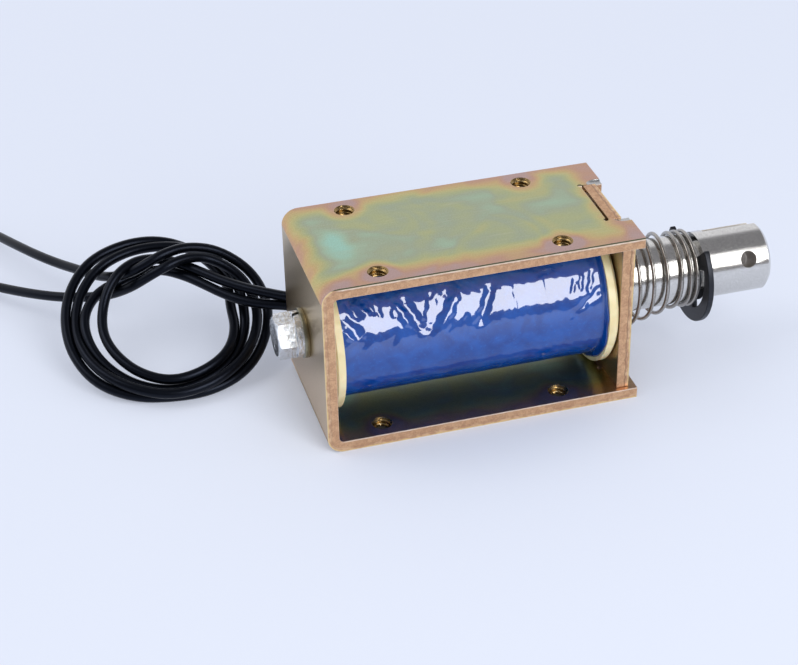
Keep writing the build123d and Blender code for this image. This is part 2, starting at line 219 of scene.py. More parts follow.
def soften(
    piece: Object, width: float, segments: int = 2, angle: float = 35.0, sheet: bool = False
) -> None:
    """Round a piece's sharp edges and keep its flat faces flat in the light.

    Args:
        piece: The piece.
        width: The rounding's width in metres.
        segments: The faces across the rounding.
        angle: The least turn of an edge that is rounded, in degrees.
        sheet: Whether its flat faces all lie along the axes, as those of folded sheet do.
    """
    bevel = piece.modifiers.new("rounded edges", "BEVEL")
    bevel.width = width
    bevel.segments = segments
    bevel.limit_method = "ANGLE"
    bevel.angle_limit = math.radians(angle)
    if not sheet:
        flat = piece.modifiers.new("flat faces", "WEIGHTED_NORMAL")
        flat.keep_sharp = True
    settle(piece)
    if sheet:
        for face in piece.data.polygons:
            face.use_smooth = max(abs(part) for part in face.normal) < FLAT_ENOUGH


def block(
    name: str, low: Triple, high: Triple, turn: Matrix = UNTURNED, face_index: int = 0
) -> Object:
    """Make a box between two corners.

    Args:
        name: The object's name.
        low: The lowest corner.
        high: The highest corner.
        turn: A transform that is applied after it.
        face_index: The material index of its faces.

    Returns:
        The box.
    """
    bm = bmesh.new()
    bmesh.ops.create_cube(bm, size=1.0)
    bmesh.ops.scale(bm, vec=Vector(high) - Vector(low), verts=bm.verts)
    bmesh.ops.translate(bm, vec=(Vector(low) + Vector(high)) / 2, verts=bm.verts)
    bmesh.ops.transform(bm, matrix=turn, verts=bm.verts)
    return new_piece(bm, name, smooth=False, face_index=face_index)


def cone(
    name: str,
    radii: tuple[float, float],
    depth: float,
    place: Matrix,
    steps: int = 32,
    face_index: int = 0,
) -> Object:
    """Make a capped cone, or a cylinder where its two radii are the same.

    Args:
        name: The object's name.
        radii: The radius of its lower end and of its upper end.
        depth: Its length along its own Z axis.
        place: The transform that takes its middle from the origin to its place.
        steps: The faces round it.
        face_index: The material index of its faces.

    Returns:
        The cone.
    """
    bm = bmesh.new()
    bmesh.ops.create_cone(
        bm, cap_ends=True, segments=steps, radius1=radii[0], radius2=radii[1], depth=depth, matrix=place
    )
    return new_piece(bm, name, face_index=face_index)


def draw_out(bm: Mesh, extruded: dict[str, list], offset: Triple) -> None:
    """Move what an extrude operator has just made.

    Args:
        bm: The bmesh.
        extruded: The operator's result.
        offset: How far the new vertices move.
    """
    moved = [part for part in extruded["geom"] if isinstance(part, bmesh.types.BMVert)]
    bmesh.ops.translate(bm, vec=offset, verts=moved)


def spin(
    bm: Mesh,
    geom: list,
    centre: Triple,
    angle: float,
    steps: int,
    axis: Triple = X_AXIS,
    climb: float = 0.0,
    merge: bool = False,
) -> dict[str, list]:
    """Spin vertices and edges about an axis.

    Args:
        bm: The bmesh.
        geom: What is spun.
        centre: A point on the axis.
        angle: The whole turn, in radians.
        steps: The steps of the turn.
        axis: The axis's direction.
        climb: How far each step moves along the axis.
        merge: Whether the last step joins the first.

    Returns:
        The operator's result.
    """
    return bmesh.ops.spin(
        bm,
        geom=geom,
        cent=centre,
        axis=axis,
        dvec=Vector(axis) * climb,
        angle=angle,
        steps=steps,
        use_merge=merge,
        use_normal_flip=False,
        use_duplicate=False,
    )


def band(start: float, end: float, outer: float, inner: float = 0.0) -> Profile:
    """Give the profile of a plain rod or, with an inner radius, of a ring.

    Args:
        start: Its start along X.
        end: Its end along X.
        outer: Its outer radius.
        inner: Its inner radius.

    Returns:
        The four corners of the profile.
    """
    return [(start, inner), (start, outer), (end, outer), (end, inner)]


@dataclass(frozen=True)
class AxialPiece:
    """A piece of the real object that is centred on the plunger's axis, at a height over the floor."""

    axis: float

    def spun(self, profile: Profile, steps: int, closed: bool = False) -> Mesh:
        """Spin a profile round the axis.

        Args:
            profile: Pairs of a place along X and a radius.
            steps: The faces round it.
            closed: Whether the profile's last point joins its first.

        Returns:
            The spun bmesh.
        """
        bm = bmesh.new()
        verts = [bm.verts.new((x, 0.0, self.axis + r)) for x, r in profile]
        edges = [bm.edges.new(pair) for pair in zip(verts, verts[1:])]
        if closed:
            edges.append(bm.edges.new((verts[-1], verts[0])))
        spin(bm, verts + edges, (0.0, 0.0, self.axis), FULL_TURN, steps, merge=True)
        return bm

    def turned(self, name: str, profile: Profile, steps: int = 96, closed: bool = False) -> Object:
        """Make a turned piece, as spun does, with a name of its own."""
        return new_piece(self.spun(profile, steps, closed), name)


@dataclass(frozen=True)
class Thread:
    """A screw thread as a closed rod that cuts a tapped hole."""

    major_radius: float
    minor_radius: float
    pitch: float
    steps: int = 24
    crest_share: float = 0.12
    flank_share: float = 0.38

    def rod(self, x: float, y: float, low: float, high: float) -> Object:
        """Make the threaded rod along Z.

        Args:
            x: Its place along X.
            y: Its place along Y.
            low: Its lower end.
            high: Its upper end.

        Returns:
            The closed rod.
        """
        bm = bmesh.new()
        wide, narrow = self.major_radius, self.minor_radius
        root = self.crest_share + self.flank_share
        shares = (0.0, self.crest_share, root, 1.0 - self.flank_share, 1.0)
        tooth = zip(shares, (wide, wide, narrow, narrow, wide))
        start = low - 2 * self.pitch
        verts = [bm.verts.new((x + r, y, start + share * self.pitch)) for share, r in tooth]
        edges = [bm.edges.new(pair) for pair in zip(verts, verts[1:])]
        turns = math.ceil((high - start) / self.pitch) + 1
        climb = self.pitch / self.steps
        spin(bm, verts + edges, (x, y, 0.0), FULL_TURN * turns, self.steps * turns, Z_AXIS, climb)
        bmesh.ops.remove_doubles(bm, verts=bm.verts, dist=MERGE_DISTANCE)
        for height, side in ((low, -1.0), (high, 1.0)):
            geom = bm.verts[:] + bm.edges[:] + bm.faces[:]
            bmesh.ops.bisect_plane(
                bm, geom=geom, plane_co=(x, y, height), plane_no=(0.0, 0.0, side), clear_outer=True
            )
        bmesh.ops.holes_fill(bm, edges=[e for e in bm.edges if e.is_boundary], sides=0)
        return new_piece(bm, "tap", face_index=FaceKind.THREAD)


# Shader tools


class Graph:
    """Adds and joins the nodes of one node tree."""

    def __init__(self, tree: bpy.types.NodeTree) -> None:
        """Keep the tree and empty it.

        Args:
            tree: The node tree to fill.
        """
        self.tree = tree
        tree.nodes.clear()

    def fill(self, node: Node, inputs: dict[str | int, Value]) -> None:
        """Join a node's inputs to other sockets, or set their own values.

        Args:
            node: The node.
            inputs: Values or sockets for its inputs, by name or place.
        """
        for name, value in inputs.items():
            if isinstance(value, Socket):
                self.tree.links.new(value, node.inputs[name])
            else:
                node.inputs[name].default_value = value

    def node(self, kind: str, inputs: dict[str | int, Value] | None = None, **settings: object) -> Node:
        """Add a node.

        Args:
            kind: The node's type.
            inputs: Values or sockets for its inputs, by name or place.
            settings: The node's own settings.

        Returns:
            The node.
        """
        made = self.tree.nodes.new(kind)
        for name, value in settings.items():
            setattr(made, name, value)
        self.fill(made, inputs or {})
        return made

    def math(self, operation: str, *values: Value, clamp: bool = False) -> Socket:
        """Work out one value.

        Args:
            operation: The Math node's operation.
            values: Its inputs in order.
            clamp: Whether the result is kept from 0 to 1.

        Returns:
            The result's socket.
        """
        inputs = dict(enumerate(values))
        return self.node("ShaderNodeMath", inputs, operation=operation, use_clamp=clamp).outputs[0]

    def times(self, first: Value, *others: Value) -> Socket:
        """Multiply values.

        Args:
            first: The first value.
            others: The values that it is multiplied by.

        Returns:
            The product's socket.
        """
        for other in others:
            first = self.math("MULTIPLY", first, other)
        return first

    def spread(self, value: Value, amount: float, base: Value) -> Socket:
        """Add a share of a value to a base."""
        return self.math("MULTIPLY_ADD", value, amount, base)

    def swing(self, value: Value, amount: float, base: Value) -> Socket:
        """Move a base up and down by a pattern of 0 to 1, which leaves it alone at 0.5."""
        return self.spread(self.math("SUBTRACT", value, 0.5), amount, base)

    def off(self, value: Value, middle: Value) -> Socket:
        """Give how far a value is from a middle."""
        return self.math("ABSOLUTE", self.math("SUBTRACT", value, middle))

    def length(self, vector: Value) -> Socket:
        """Give a vector's length."""
        return self.node("ShaderNodeVectorMath", {0: vector}, operation="LENGTH").outputs["Value"]

    def join(self, x: Value, y: Value = 0.0) -> Socket:
        """Make a flat vector of its parts."""
        return self.node("ShaderNodeCombineXYZ", {0: x, 1: y}).outputs[0]

    def split(self, vector: Value) -> list[Socket]:
        """Give a vector's three parts."""
        return list(self.node("ShaderNodeSeparateXYZ", {0: vector}).outputs)

    def rise(self, value: Value, low: float, high: float) -> Socket:
        """Rise smoothly from 0 to 1 between two values.

        Args:
            value: The value to read.
            low: Where the result is 0.
            high: Where the result is 1.

        Returns:
            The result's socket.
        """
        inputs = {"Value": value, "From Min": low, "From Max": high}
        return self.node("ShaderNodeMapRange", inputs, interpolation_type="SMOOTHSTEP").outputs[0]

    def mix(self, share: Value, first: Value, second: Value, blend: str = "MIX") -> Socket:
        """Mix two colours.

        Args:
            share: How much of the second colour.
            first: The first colour.
            second: The second colour.
            blend: The way they mix.

        Returns:
            The mixed colour's socket.
        """
        inputs = {"Factor": share, 6: first, 7: second}
        return self.node("ShaderNodeMix", inputs, data_type="RGBA", blend_type=blend).outputs[2]

    def ramp(self, value: Value, stops: tuple[tuple[float, Colour], ...]) -> Socket:
        """Look a value up in a row of colours.

        Args:
            value: The place in the row.
            stops: Pairs of a place and its colour.

        Returns:
            The colour's socket.
        """
        made = self.node("ShaderNodeValToRGB", {"Fac": value})
        points = made.color_ramp.elements
        while len(points) < len(stops):
            points.new(1.0)
        for point, (place, colour) in zip(points, stops):
            point.position = place
            point.color = colour
        return made.outputs["Color"]

    def millimetres(self) -> Socket:
        """Read the object's own coordinates in millimetres.

        Returns:
            The coordinates.
        """
        inputs = {0: self.node("ShaderNodeTexCoord").outputs["Object"], "Scale": 1 / MM}
        return self.node("ShaderNodeVectorMath", inputs, operation="SCALE").outputs[0]

    def stretch(self, vector: Value, scale: Triple, turn: float = 0.0) -> Socket:
        """Turn and stretch coordinates.

        Args:
            vector: The coordinates.
            scale: The scale along each axis.
            turn: The turn about Z, in degrees.

        Returns:
            The changed coordinates.
        """
        inputs = {"Vector": vector, "Scale": scale, "Rotation": (0.0, 0.0, math.radians(turn))}
        return self.node("ShaderNodeMapping", inputs).outputs[0]

    def noise(
        self, vector: Value, scale: Value, detail: float = 2.0, rough: float = 0.5, warp: float = 0.0
    ) -> Socket:
        """Read a noise texture.

        Args:
            vector: The coordinates.
            scale: Its scale.
            detail: Its octaves.
            rough: How strong the finer octaves are.
            warp: How far it is distorted.

        Returns:
            The noise's value.
        """
        inputs = {"Vector": vector, "Scale": scale, "Detail": detail}
        inputs |= {"Roughness": rough, "Distortion": warp}
        return self.node("ShaderNodeTexNoise", inputs).outputs[0]

    def bump(self, height: Value, depth: float, strength: float = 1.0) -> Socket:
        """Turn a height into a normal.

        Args:
            height: The height, from 0 to 1.
            depth: The depth of a height of 1, in metres.
            strength: How much of it shows.

        Returns:
            The normal.
        """
        inputs = {"Height": height, "Distance": depth, "Strength": strength}
        return self.node("ShaderNodeBump", inputs).outputs[0]

    def effect(self, tree: bpy.types.NodeTree, place: Value, **values: float) -> Socket:
        """Place a shared effect.

        Args:
            tree: The effect's node group.
            place: The coordinates that it reads.
            values: Its other inputs, by name.

        Returns:
            The effect's only output.
        """
        return self.node("ShaderNodeGroup", {"Vector": place, **values}, node_tree=tree).outputs[0]

    def seen_and_mirrored(self) -> tuple[Socket, Socket]:
        """Tell rays apart, for a backdrop that only the camera and mirrors see.

        Returns:
            The mask of camera rays, and that of rays that a mirror or clear glass sends on.
        """
        rays = self.node("ShaderNodeLightPath").outputs
        mirrored = self.math("MAXIMUM", rays["Is Glossy Ray"], rays["Is Transmission Ray"])
        return rays["Is Camera Ray"], mirrored

    def mix_shaders(self, share: Value, first: Node, second: Node) -> Node:
        """Mix the shaders of two nodes."""
        return self.node("ShaderNodeMixShader", {0: share, 1: first.outputs[0], 2: second.outputs[0]})


def new_group(
    name: str, inputs: dict[str, float], output: str
) -> tuple[Graph, bpy.types.NodeOutputs, Node]:
    """Start a shader node group with a vector input, float inputs and one float output.

    Args:
        name: The group's name.
        inputs: Names and first values of its float inputs.
        output: The name of its output.

    Returns:
        The group's graph, the sockets that it is given and its output node.
    """
    tree = bpy.data.node_groups.new(name, "ShaderNodeTree")
    tree.interface.new_socket("Vector", in_out="INPUT", socket_type="NodeSocketVector")
    for label, value in inputs.items():
        made = tree.interface.new_socket(label, in_out="INPUT", socket_type="NodeSocketFloat")
        made.default_value = value
    tree.interface.new_socket(output, in_out="OUTPUT", socket_type="NodeSocketFloat")
    graph = Graph(tree)
    return graph, graph.node("NodeGroupInput").outputs, graph.node("NodeGroupOutput")


class Effects:
    """The surface effects that several finishes share, each built once."""

    def __init__(self) -> None:
        """Build every group."""
        self.edge_wear = self._edge_wear()
        self.grain = self._grain()
        self.scratches = self._scratches()
        self.blotches = self._blotches()

    @staticmethod
    def _edge_wear() -> bpy.types.NodeTree:
        """Build a broken line along sharp edges, where a thin finish is rubbed or breaks.

        Returns:
            The node group.
        """
        graph, given, end = new_group("edge wear", {"Width": 0.2, "Breakup": 1.5}, "Mask")
        width = graph.times(given["Width"], MM)
        rounded = graph.node("ShaderNodeBevel", {"Radius": width}, samples=4).outputs[0]
        plain = graph.node("ShaderNodeNewGeometry").outputs["Normal"]
        same = graph.node("ShaderNodeVectorMath", {0: rounded, 1: plain}, operation="DOT_PRODUCT")
        turn = graph.math("SUBTRACT", 1.0, same.outputs["Value"], clamp=True)
        spots = graph.noise(given["Vector"], given["Breakup"], 3.0)
        graph.fill(end, {"Mask": graph.rise(graph.swing(spots, 0.25, turn), 0.05, 0.2)})
        return graph.tree

    @staticmethod
    def _grain() -> bpy.types.NodeTree:
        """Build the fine pits and hills of a rolled or plated surface.

        Returns:
            The node group.
        """
        graph, given, end = new_group("grain", {"Scale": 6.0}, "Height")
        graph.fill(end, {"Height": graph.noise(given["Vector"], given["Scale"], 4.0, 0.65)})
        return graph.tree

    @staticmethod
    def _scratches() -> bpy.types.NodeTree:
        """Build long thin marks that run along X of the given coordinates.

        Returns:
            The node group.
        """
        graph, given, end = new_group("scratches", {"Scale": 3.0, "Amount": 0.5}, "Mask")
        long = graph.stretch(given["Vector"], (0.05, 1.0, 1.0), 3.0)
        marks = graph.rise(graph.noise(long, given["Scale"], 5.0, 0.7), 0.52, 0.72)
        graph.fill(end, {"Mask": graph.times(marks, given["Amount"])})
        return graph.tree

    @staticmethod
    def _blotches() -> bpy.types.NodeTree:
        """Build the soft large patches of an uneven finish.

        Returns:
            The node group.
        """
        graph, given, end = new_group("blotches", {"Scale": 0.08}, "Mask")
        patches = graph.noise(given["Vector"], given["Scale"], 1.5, warp=1.2)
        graph.fill(end, {"Mask": graph.rise(patches, 0.3, 0.7)})
        return graph.tree


def start_material(name: str) -> tuple[Material, Graph, Node]:
    """Start a material with one Principled shader.

    Args:
        name: The material's name.

    Returns:
        The material, its graph and its Principled node.
    """
    made = bpy.data.materials.new(name)
    made.use_nodes = True
    graph = Graph(made.node_tree)
    shader = graph.node("ShaderNodeBsdfPrincipled")
    graph.node("ShaderNodeOutputMaterial", {"Surface": shader.outputs[0]})
    return made, graph, shader


# Finishes


@dataclass(frozen=True)
class Finish:
    """The look of one surface. A finish of its own works out the shader's inputs in paint."""

    name: str
    effects: Effects

    def paint(self, graph: Graph, place: Socket) -> dict[str, Value]:
        """Work out what goes into the Principled shader.

        Args:
            graph: The material's graph.
            place: Object coordinates in millimetres.

        Returns:
            Values or sockets by the names of the shader's inputs.
        """
        raise NotImplementedError

    def build(self) -> Material:
        """Build the material.

        Returns:
            The material.
        """
        made, graph, shader = start_material(self.name)
        graph.fill(shader, self.paint(graph, graph.millimetres()))
        return made


@dataclass(frozen=True)
class ChromateSteel(Finish):
    """Yellow-passivated zinc on sheet steel, with the film's colours drifting over it.

    The film is thin at edges and holes. It gathered in a pool near the rear, and drained
    a little to one side. The pool's size and the reaches are in millimetres.
    """

    middle_x: float
    half_length: float
    half_width: float
    hole_x: float
    hole_y: float
    roughness: float = 0.24
    drain_x: float = 2.0 * MM
    drain_y: float = 1.1 * MM
    pool_length: float = 4.2
    pool_width: float = 8.5
    pool_from_rear: float = 6.4 * MM
    thickness: float = 0.60
    patch_swing: float = 0.20
    streak_swing: float = 0.30
    pool_gain: float = 0.30
    edge_loss: float = 0.50
    edge_reach: float = 6.5
    hole_loss: float = 0.30
    hole_near: float = 2.2
    hole_reach: float = 5.2
    # Painted reflection and shade: the rear wall's tone, which changes with height, stands in for what
    # that wall reflects
    rear_reflection_top: Colour = linear(208, 188, 154)
    rear_reflection_bottom: Colour = linear(208, 182, 150)
    pits: Colour = linear(232, 229, 220)
    worn: Colour = linear(226, 202, 188)
    scratch: Colour = linear(228, 220, 196)
    film_colours: tuple[tuple[float, Colour], ...] = (
        (0.0, linear(194, 164, 160)),
        (0.12, linear(202, 161, 140)),
        (0.26, linear(211, 181, 133)),
        (0.40, linear(202, 194, 138)),
        (0.52, linear(183, 189, 146)),
        (0.64, linear(173, 183, 158)),
        (0.76, linear(174, 199, 174)),
        (0.92, linear(170, 214, 198)),
    )

    def film(self, graph: Graph, place: Socket) -> Socket:
        """Work out the film's thickness.

        Args:
            graph: The material's graph.
            place: Object coordinates in millimetres.

        Returns:
            The thickness, from 0 to 1.
        """
        x, y, _ = graph.split(place)
        from_middle = graph.off(x, (self.middle_x - self.drain_x) / MM)
        end_gap = graph.math("SUBTRACT", self.half_length / MM, from_middle)
        side_gap = graph.math("SUBTRACT", self.half_width / MM, graph.off(y, self.drain_y / MM))
        edge_gap = graph.math("SMOOTH_MIN", end_gap, side_gap, 3.0)
        hole_x = graph.math("SUBTRACT", graph.math("ABSOLUTE", x), self.hole_x / MM)
        hole_y = graph.math("SUBTRACT", graph.math("ABSOLUTE", y), self.hole_y / MM)
        hole_gap = graph.length(graph.join(hole_x, hole_y))
        patches = graph.effect(self.effects.blotches, place, Scale=0.085)
        streaks = graph.noise(graph.stretch(place, (0.4, 1.2, 1.0), 35.0), 0.2, 1.5, 0.45)
        pool_x, pool_y, _ = graph.split(
            graph.stretch(place, (1 / self.pool_length, 1 / self.pool_width, 1.0))
        )
        pool_middle = (self.middle_x - self.half_length + self.pool_from_rear) / self.pool_length / MM
        pool_gap = graph.length(graph.join(graph.math("SUBTRACT", pool_x, pool_middle), pool_y))
        film = graph.swing(patches, self.patch_swing, self.thickness)
        film = graph.swing(streaks, self.streak_swing, film)
        film = graph.spread(graph.rise(pool_gap, 1.2, 0.2), self.pool_gain, film)
        film = graph.spread(graph.rise(edge_gap, self.edge_reach, 0.0), -self.edge_loss, film)
        return graph.spread(graph.rise(hole_gap, self.hole_reach, self.hole_near), -self.hole_loss, film)

    def paint(self, graph: Graph, place: Socket) -> dict[str, Value]:
        """Colour the film by its thickness, give the rear wall a plainer tone with painted reflection and
        shade that change with height, and wear it at the edges.

        Args:
            graph: The material's graph.
            place: Object coordinates in millimetres.

        Returns:
            Values or sockets by the names of the shader's inputs.
        """
        colour = graph.ramp(self.film(graph, place), self.film_colours)
        facing = graph.split(graph.node("ShaderNodeNewGeometry").outputs["Normal"])[0]
        # Painted reflection and shade on the rear wall: a tone that changes with height replaces the
        # film's colours there
        rear = graph.mix(graph.rise(graph.split(place)[2], 2.0, 34.0), self.rear_reflection_bottom, self.rear_reflection_top)
        colour = graph.mix(graph.rise(facing, -0.55, -0.95), colour, rear)
        fine = graph.effect(self.effects.grain, place, Scale=4.0)
        colour = graph.mix(graph.rise(fine, 0.7, 0.3), colour, self.pits, "MULTIPLY")
        worn = graph.effect(self.effects.edge_wear, place, Width=0.2, Breakup=1.2)
        colour = graph.mix(graph.times(worn, 0.6), colour, self.worn)
        marks = graph.effect(self.effects.scratches, place, Scale=2.0, Amount=0.15)
        return {
            "Base Color": graph.mix(marks, colour, self.scratch),
            "Metallic": 1.0,
            "Roughness": graph.spread(fine, 0.12, self.roughness),
            "Normal": graph.bump(fine, 0.005 * MM, 0.5),
        }


@dataclass(frozen=True)
class ShearedSteel(Finish):
    """The cut edge of the sheet: a smooth sheared band and a torn, grainy band."""

    rear_x: float
    height: float
    bend_radius: float
    sheet: float
    front_x: float | None = None
    burr: float = 0.6
    # Depth of the painted dark reflection under the top edge, and width of the bright line that is part
    # wear and part painted highlight
    dark_reflection_depth: float = 0.34 * MM
    gleam: float = 0.26 * MM
    smooth: Tones = (linear(188, 146, 114), linear(214, 178, 142))
    torn: Tones = (linear(178, 136, 104), linear(216, 176, 138))
    # Pale gold line at the cut's outer edge: part the skin's gold on the rounded edge, part painted
    # highlight along the arris
    skin_and_highlight_line: Colour = linear(222, 194, 140)
    burr_line: Colour = linear(128, 98, 74)
    worn: Colour = linear(222, 202, 182)
    # The lip line is a painted dark reflection along the top plate's upper edge; the gleam line is part
    # wear, part painted highlight
    lip_painted_reflection: Colour = linear(84, 84, 60)
    gleam_line: Colour = linear(244, 232, 214)

    def upper_edges(self, graph: Graph, place: Socket, colour: Socket) -> Socket:
        """Draw a bright line along both plates' upper edges, part wear and part painted highlight, under a
        painted dark reflection along the top plate's edge.

        Args:
            graph: The material's graph.
            place: Object coordinates in millimetres.
            colour: The colour of the cut edge.

        Returns:
            The colour with its lines.
        """
        x, _, z = graph.split(place)
        ragged = graph.swing(graph.noise(place, 0.9), 0.14, z)
        bend = (self.rear_x + self.bend_radius) / MM
        spots = graph.spread(graph.noise(place, 0.6), 0.9, 0.1)
        spots = graph.times(graph.rise(x, bend - 1.0, bend + 1.0), spots)
        for top, dark in ((self.height, self.dark_reflection_depth), (self.sheet, 0.0)):
            upper = (top - dark) / MM
            lower = upper - self.gleam / MM
            above = graph.rise(ragged, lower - 0.05, lower + 0.05)
            below = graph.rise(ragged, upper + 0.06, upper - 0.02)
            colour = graph.mix(graph.times(above, below, spots), colour, self.gleam_line)
            # Painted dark reflection along the upper plate's top edge
            if dark:
                colour = graph.mix(graph.rise(z, upper, upper + 0.06), colour, self.lip_painted_reflection)
        return colour

    def depth(self, graph: Graph, place: Socket) -> Socket:
        """Work out how deep under the sheet's outer skin a place lies.

        Args:
            graph: The material's graph.
            place: Object coordinates in millimetres.

        Returns:
            The depth as a share of the sheet.
        """
        x, _, z = graph.split(place)
        if self.front_x is not None:
            return graph.math("DIVIDE", graph.math("SUBTRACT", self.front_x / MM, x), self.sheet / MM)
        bend = self.bend_radius / MM
        half = self.height / MM / 2
        from_rear = graph.math("SUBTRACT", bend + self.rear_x / MM, x)
        from_skin = graph.math("SUBTRACT", half, graph.off(z, half))
        across = graph.math("MAXIMUM", from_rear, 0.0)
        down = graph.math("MAXIMUM", graph.math("SUBTRACT", bend, from_skin), 0.0)
        out = graph.length(graph.join(across, down))
        return graph.math("DIVIDE", graph.math("SUBTRACT", bend, out), self.sheet / MM)

    def paint(self, graph: Graph, place: Socket) -> dict[str, Value]:
        """Draw the bands by their depth under the skin, with the burr between them.

        Args:
            graph: The material's graph.
            place: Object coordinates in millimetres.

        Returns:
            Values or sockets by the names of the shader's inputs.
        """
        grit = graph.noise(place, 3.5, 5.0, 0.7)
        line = graph.swing(graph.noise(place, 0.7), 0.3, self.depth(graph, place))
        rough_band = graph.rise(line, 0.3, 0.42)
        mottle = graph.rise(graph.noise(place, 1.1), 0.38, 0.66)
        gritty = graph.spread(graph.rise(grit, 0.35, 0.65), 0.6, graph.times(mottle, 0.4))
        colour = graph.mix(rough_band, graph.mix(mottle, *self.smooth), graph.mix(gritty, *self.torn))
        # Pale line at the outer edge of the cut, part skin colour and part painted highlight
        colour = graph.mix(graph.rise(line, 0.16, 0.06), colour, self.skin_and_highlight_line)
        burr = graph.times(graph.rise(line, 0.26, 0.31), graph.rise(line, 0.42, 0.36), self.burr)
        colour = graph.mix(burr, colour, self.burr_line)
        worn = graph.effect(self.effects.edge_wear, place, Width=0.2, Breakup=2.0)
        colour = graph.mix(worn, colour, self.worn)
        if self.front_x is None:
            colour = self.upper_edges(graph, place, colour)
        return {
            "Base Color": colour,
            "Metallic": 0.6,
            "Roughness": graph.spread(rough_band, 0.14, 0.38),
            "Normal": graph.bump(graph.times(grit, rough_band), 0.05 * MM, 0.7),
        }


@dataclass(frozen=True)
class PlainMetal(Finish):
    """A turned, drawn or plated metal of one colour, with grain, marks and brighter edges."""

    colour: Colour
    edge_colour: Colour
    roughness: float
    shade: float = 0.72
    grain_scale: float = 5.0
    grain_depth: float = 0.01 * MM
    mark_amount: float = 0.2
    turning_pitch: float = 0.0
    turning_depth: float = 0.0
    metallic: float = 1.0

    def paint(self, graph: Graph, place: Socket) -> dict[str, Value]:
        """Darken the grain's pits, brighten marks and edges, and cut the turning's fine grooves.

        Args:
            graph: The material's graph.
            place: Object coordinates in millimetres.

        Returns:
            Values or sockets by the names of the shader's inputs.
        """
        fine = graph.effect(self.effects.grain, place, Scale=self.grain_scale)
        dark = tuple(c * self.shade for c in self.colour[:3]) + (1.0,)
        colour = graph.mix(graph.rise(fine, 0.35, 0.65), dark, self.colour)
        marks = graph.effect(self.effects.scratches, place, Scale=2.5, Amount=self.mark_amount)
        colour = graph.mix(marks, colour, self.edge_colour)
        worn = graph.effect(self.effects.edge_wear, place, Width=0.18, Breakup=2.0)
        height = graph.times(fine, self.grain_depth / MM)
        if self.turning_pitch:
            x, _, _ = graph.split(place)
            turns = graph.math("SINE", graph.times(x, FULL_TURN * MM / self.turning_pitch))
            uneven = graph.times(turns, graph.noise(graph.join(x), 1.7))
            height = graph.spread(uneven, self.turning_depth / MM, height)
        return {
            "Base Color": graph.mix(worn, colour, self.edge_colour),
            "Metallic": self.metallic,
            "Roughness": graph.spread(fine, 0.12, self.roughness),
            "Normal": graph.bump(height, MM),
        }


@dataclass(frozen=True)
class Moulding(Finish):
    """A moulded plastic with a faint flow pattern."""

    colour: Colour
    shade: Colour
    roughness: float = 0.42
    subsurface: float = 0.0

    def paint(self, graph: Graph, place: Socket) -> dict[str, Value]:
        """Mix the plastic's two shades along its flow.

        Args:
            graph: The material's graph.
            place: Object coordinates in millimetres.

        Returns:
            Values or sockets by the names of the shader's inputs.
        """
        flow = graph.effect(self.effects.blotches, place, Scale=0.2)
        fine = graph.effect(self.effects.grain, place, Scale=4.0)
        return {
            "Base Color": graph.mix(flow, self.colour, self.shade),
            "Roughness": graph.spread(fine, 0.15, self.roughness),
            "Normal": graph.bump(fine, 0.015 * MM, 0.6),
            "Subsurface Weight": self.subsurface,
            "Subsurface Scale": MM,
        }


@dataclass(frozen=True)
class TapeFilm(Finish):
    """Glossy coloured film, tight over the coil, with a dull bond below a clear gloss."""

    colour: Colour = linear(2, 72, 156)
    deep: Colour = linear(0, 56, 134)
    pale: Colour = linear(8, 86, 172)
    gloss_low: float = 17.0
    gloss_high: float = 22.5

    def paint(self, graph: Graph, place: Socket) -> dict[str, Value]:
        """Mix the film's blues in patches, and let its gloss grow with height.

        Args:
            graph: The material's graph.
            place: Object coordinates in millimetres.

        Returns:
            Values or sockets by the names of the shader's inputs.
        """
        patches = graph.effect(self.effects.blotches, place, Scale=0.18)
        fine = graph.effect(self.effects.grain, place, Scale=1.6)
        colour = graph.mix(patches, self.deep, self.colour)
        gloss = graph.rise(graph.split(place)[2], self.gloss_low, self.gloss_high)
        return {
            "Base Color": graph.mix(graph.rise(fine, 0.5, 0.85), colour, self.pale),
            "Roughness": graph.spread(fine, 0.1, 0.16),
            "Specular IOR Level": 0.2,
            "Coat Weight": graph.spread(gloss, 0.5, 0.5),
            "Coat Roughness": 0.03,
            "Coat IOR": 1.95,
            "Normal": graph.bump(graph.noise(place, 0.5), 0.03 * MM, 0.5),
        }


@dataclass(frozen=True)
class MagnetWire(Finish):
    """Close turns of enamelled copper wire, as seen through the tape's window."""

    wire_pitch: float = 0.22 * MM
    # Painted shade in the grooves between turns, and painted light on the copper of their crowns
    copper: Tones = (linear(90, 40, 22), linear(196, 104, 62))
    enamel: Colour = linear(150, 70, 40)

    def paint(self, graph: Graph, place: Socket) -> dict[str, Value]:
        """Paint shade into the grooves between the turns and lighter copper on their crowns, one turn
        every wire pitch.

        Args:
            graph: The material's graph.
            place: Object coordinates in millimetres.

        Returns:
            Values or sockets by the names of the shader's inputs.
        """
        x, _, _ = graph.split(place)
        wave = graph.math("SINE", graph.times(x, FULL_TURN * MM / self.wire_pitch))
        tone = graph.effect(self.effects.grain, place, Scale=1.5)
        # Painted shade: darker copper in each groove, lighter on each crown
        colour = graph.mix(graph.rise(wave, -1.0, 0.4), *self.copper)
        return {
            "Base Color": graph.mix(tone, colour, self.enamel),
            "Metallic": 0.9,
            "Roughness": graph.spread(tone, 0.1, 0.25),
            "Normal": graph.bump(wave, 0.05 * MM, 0.6),
        }


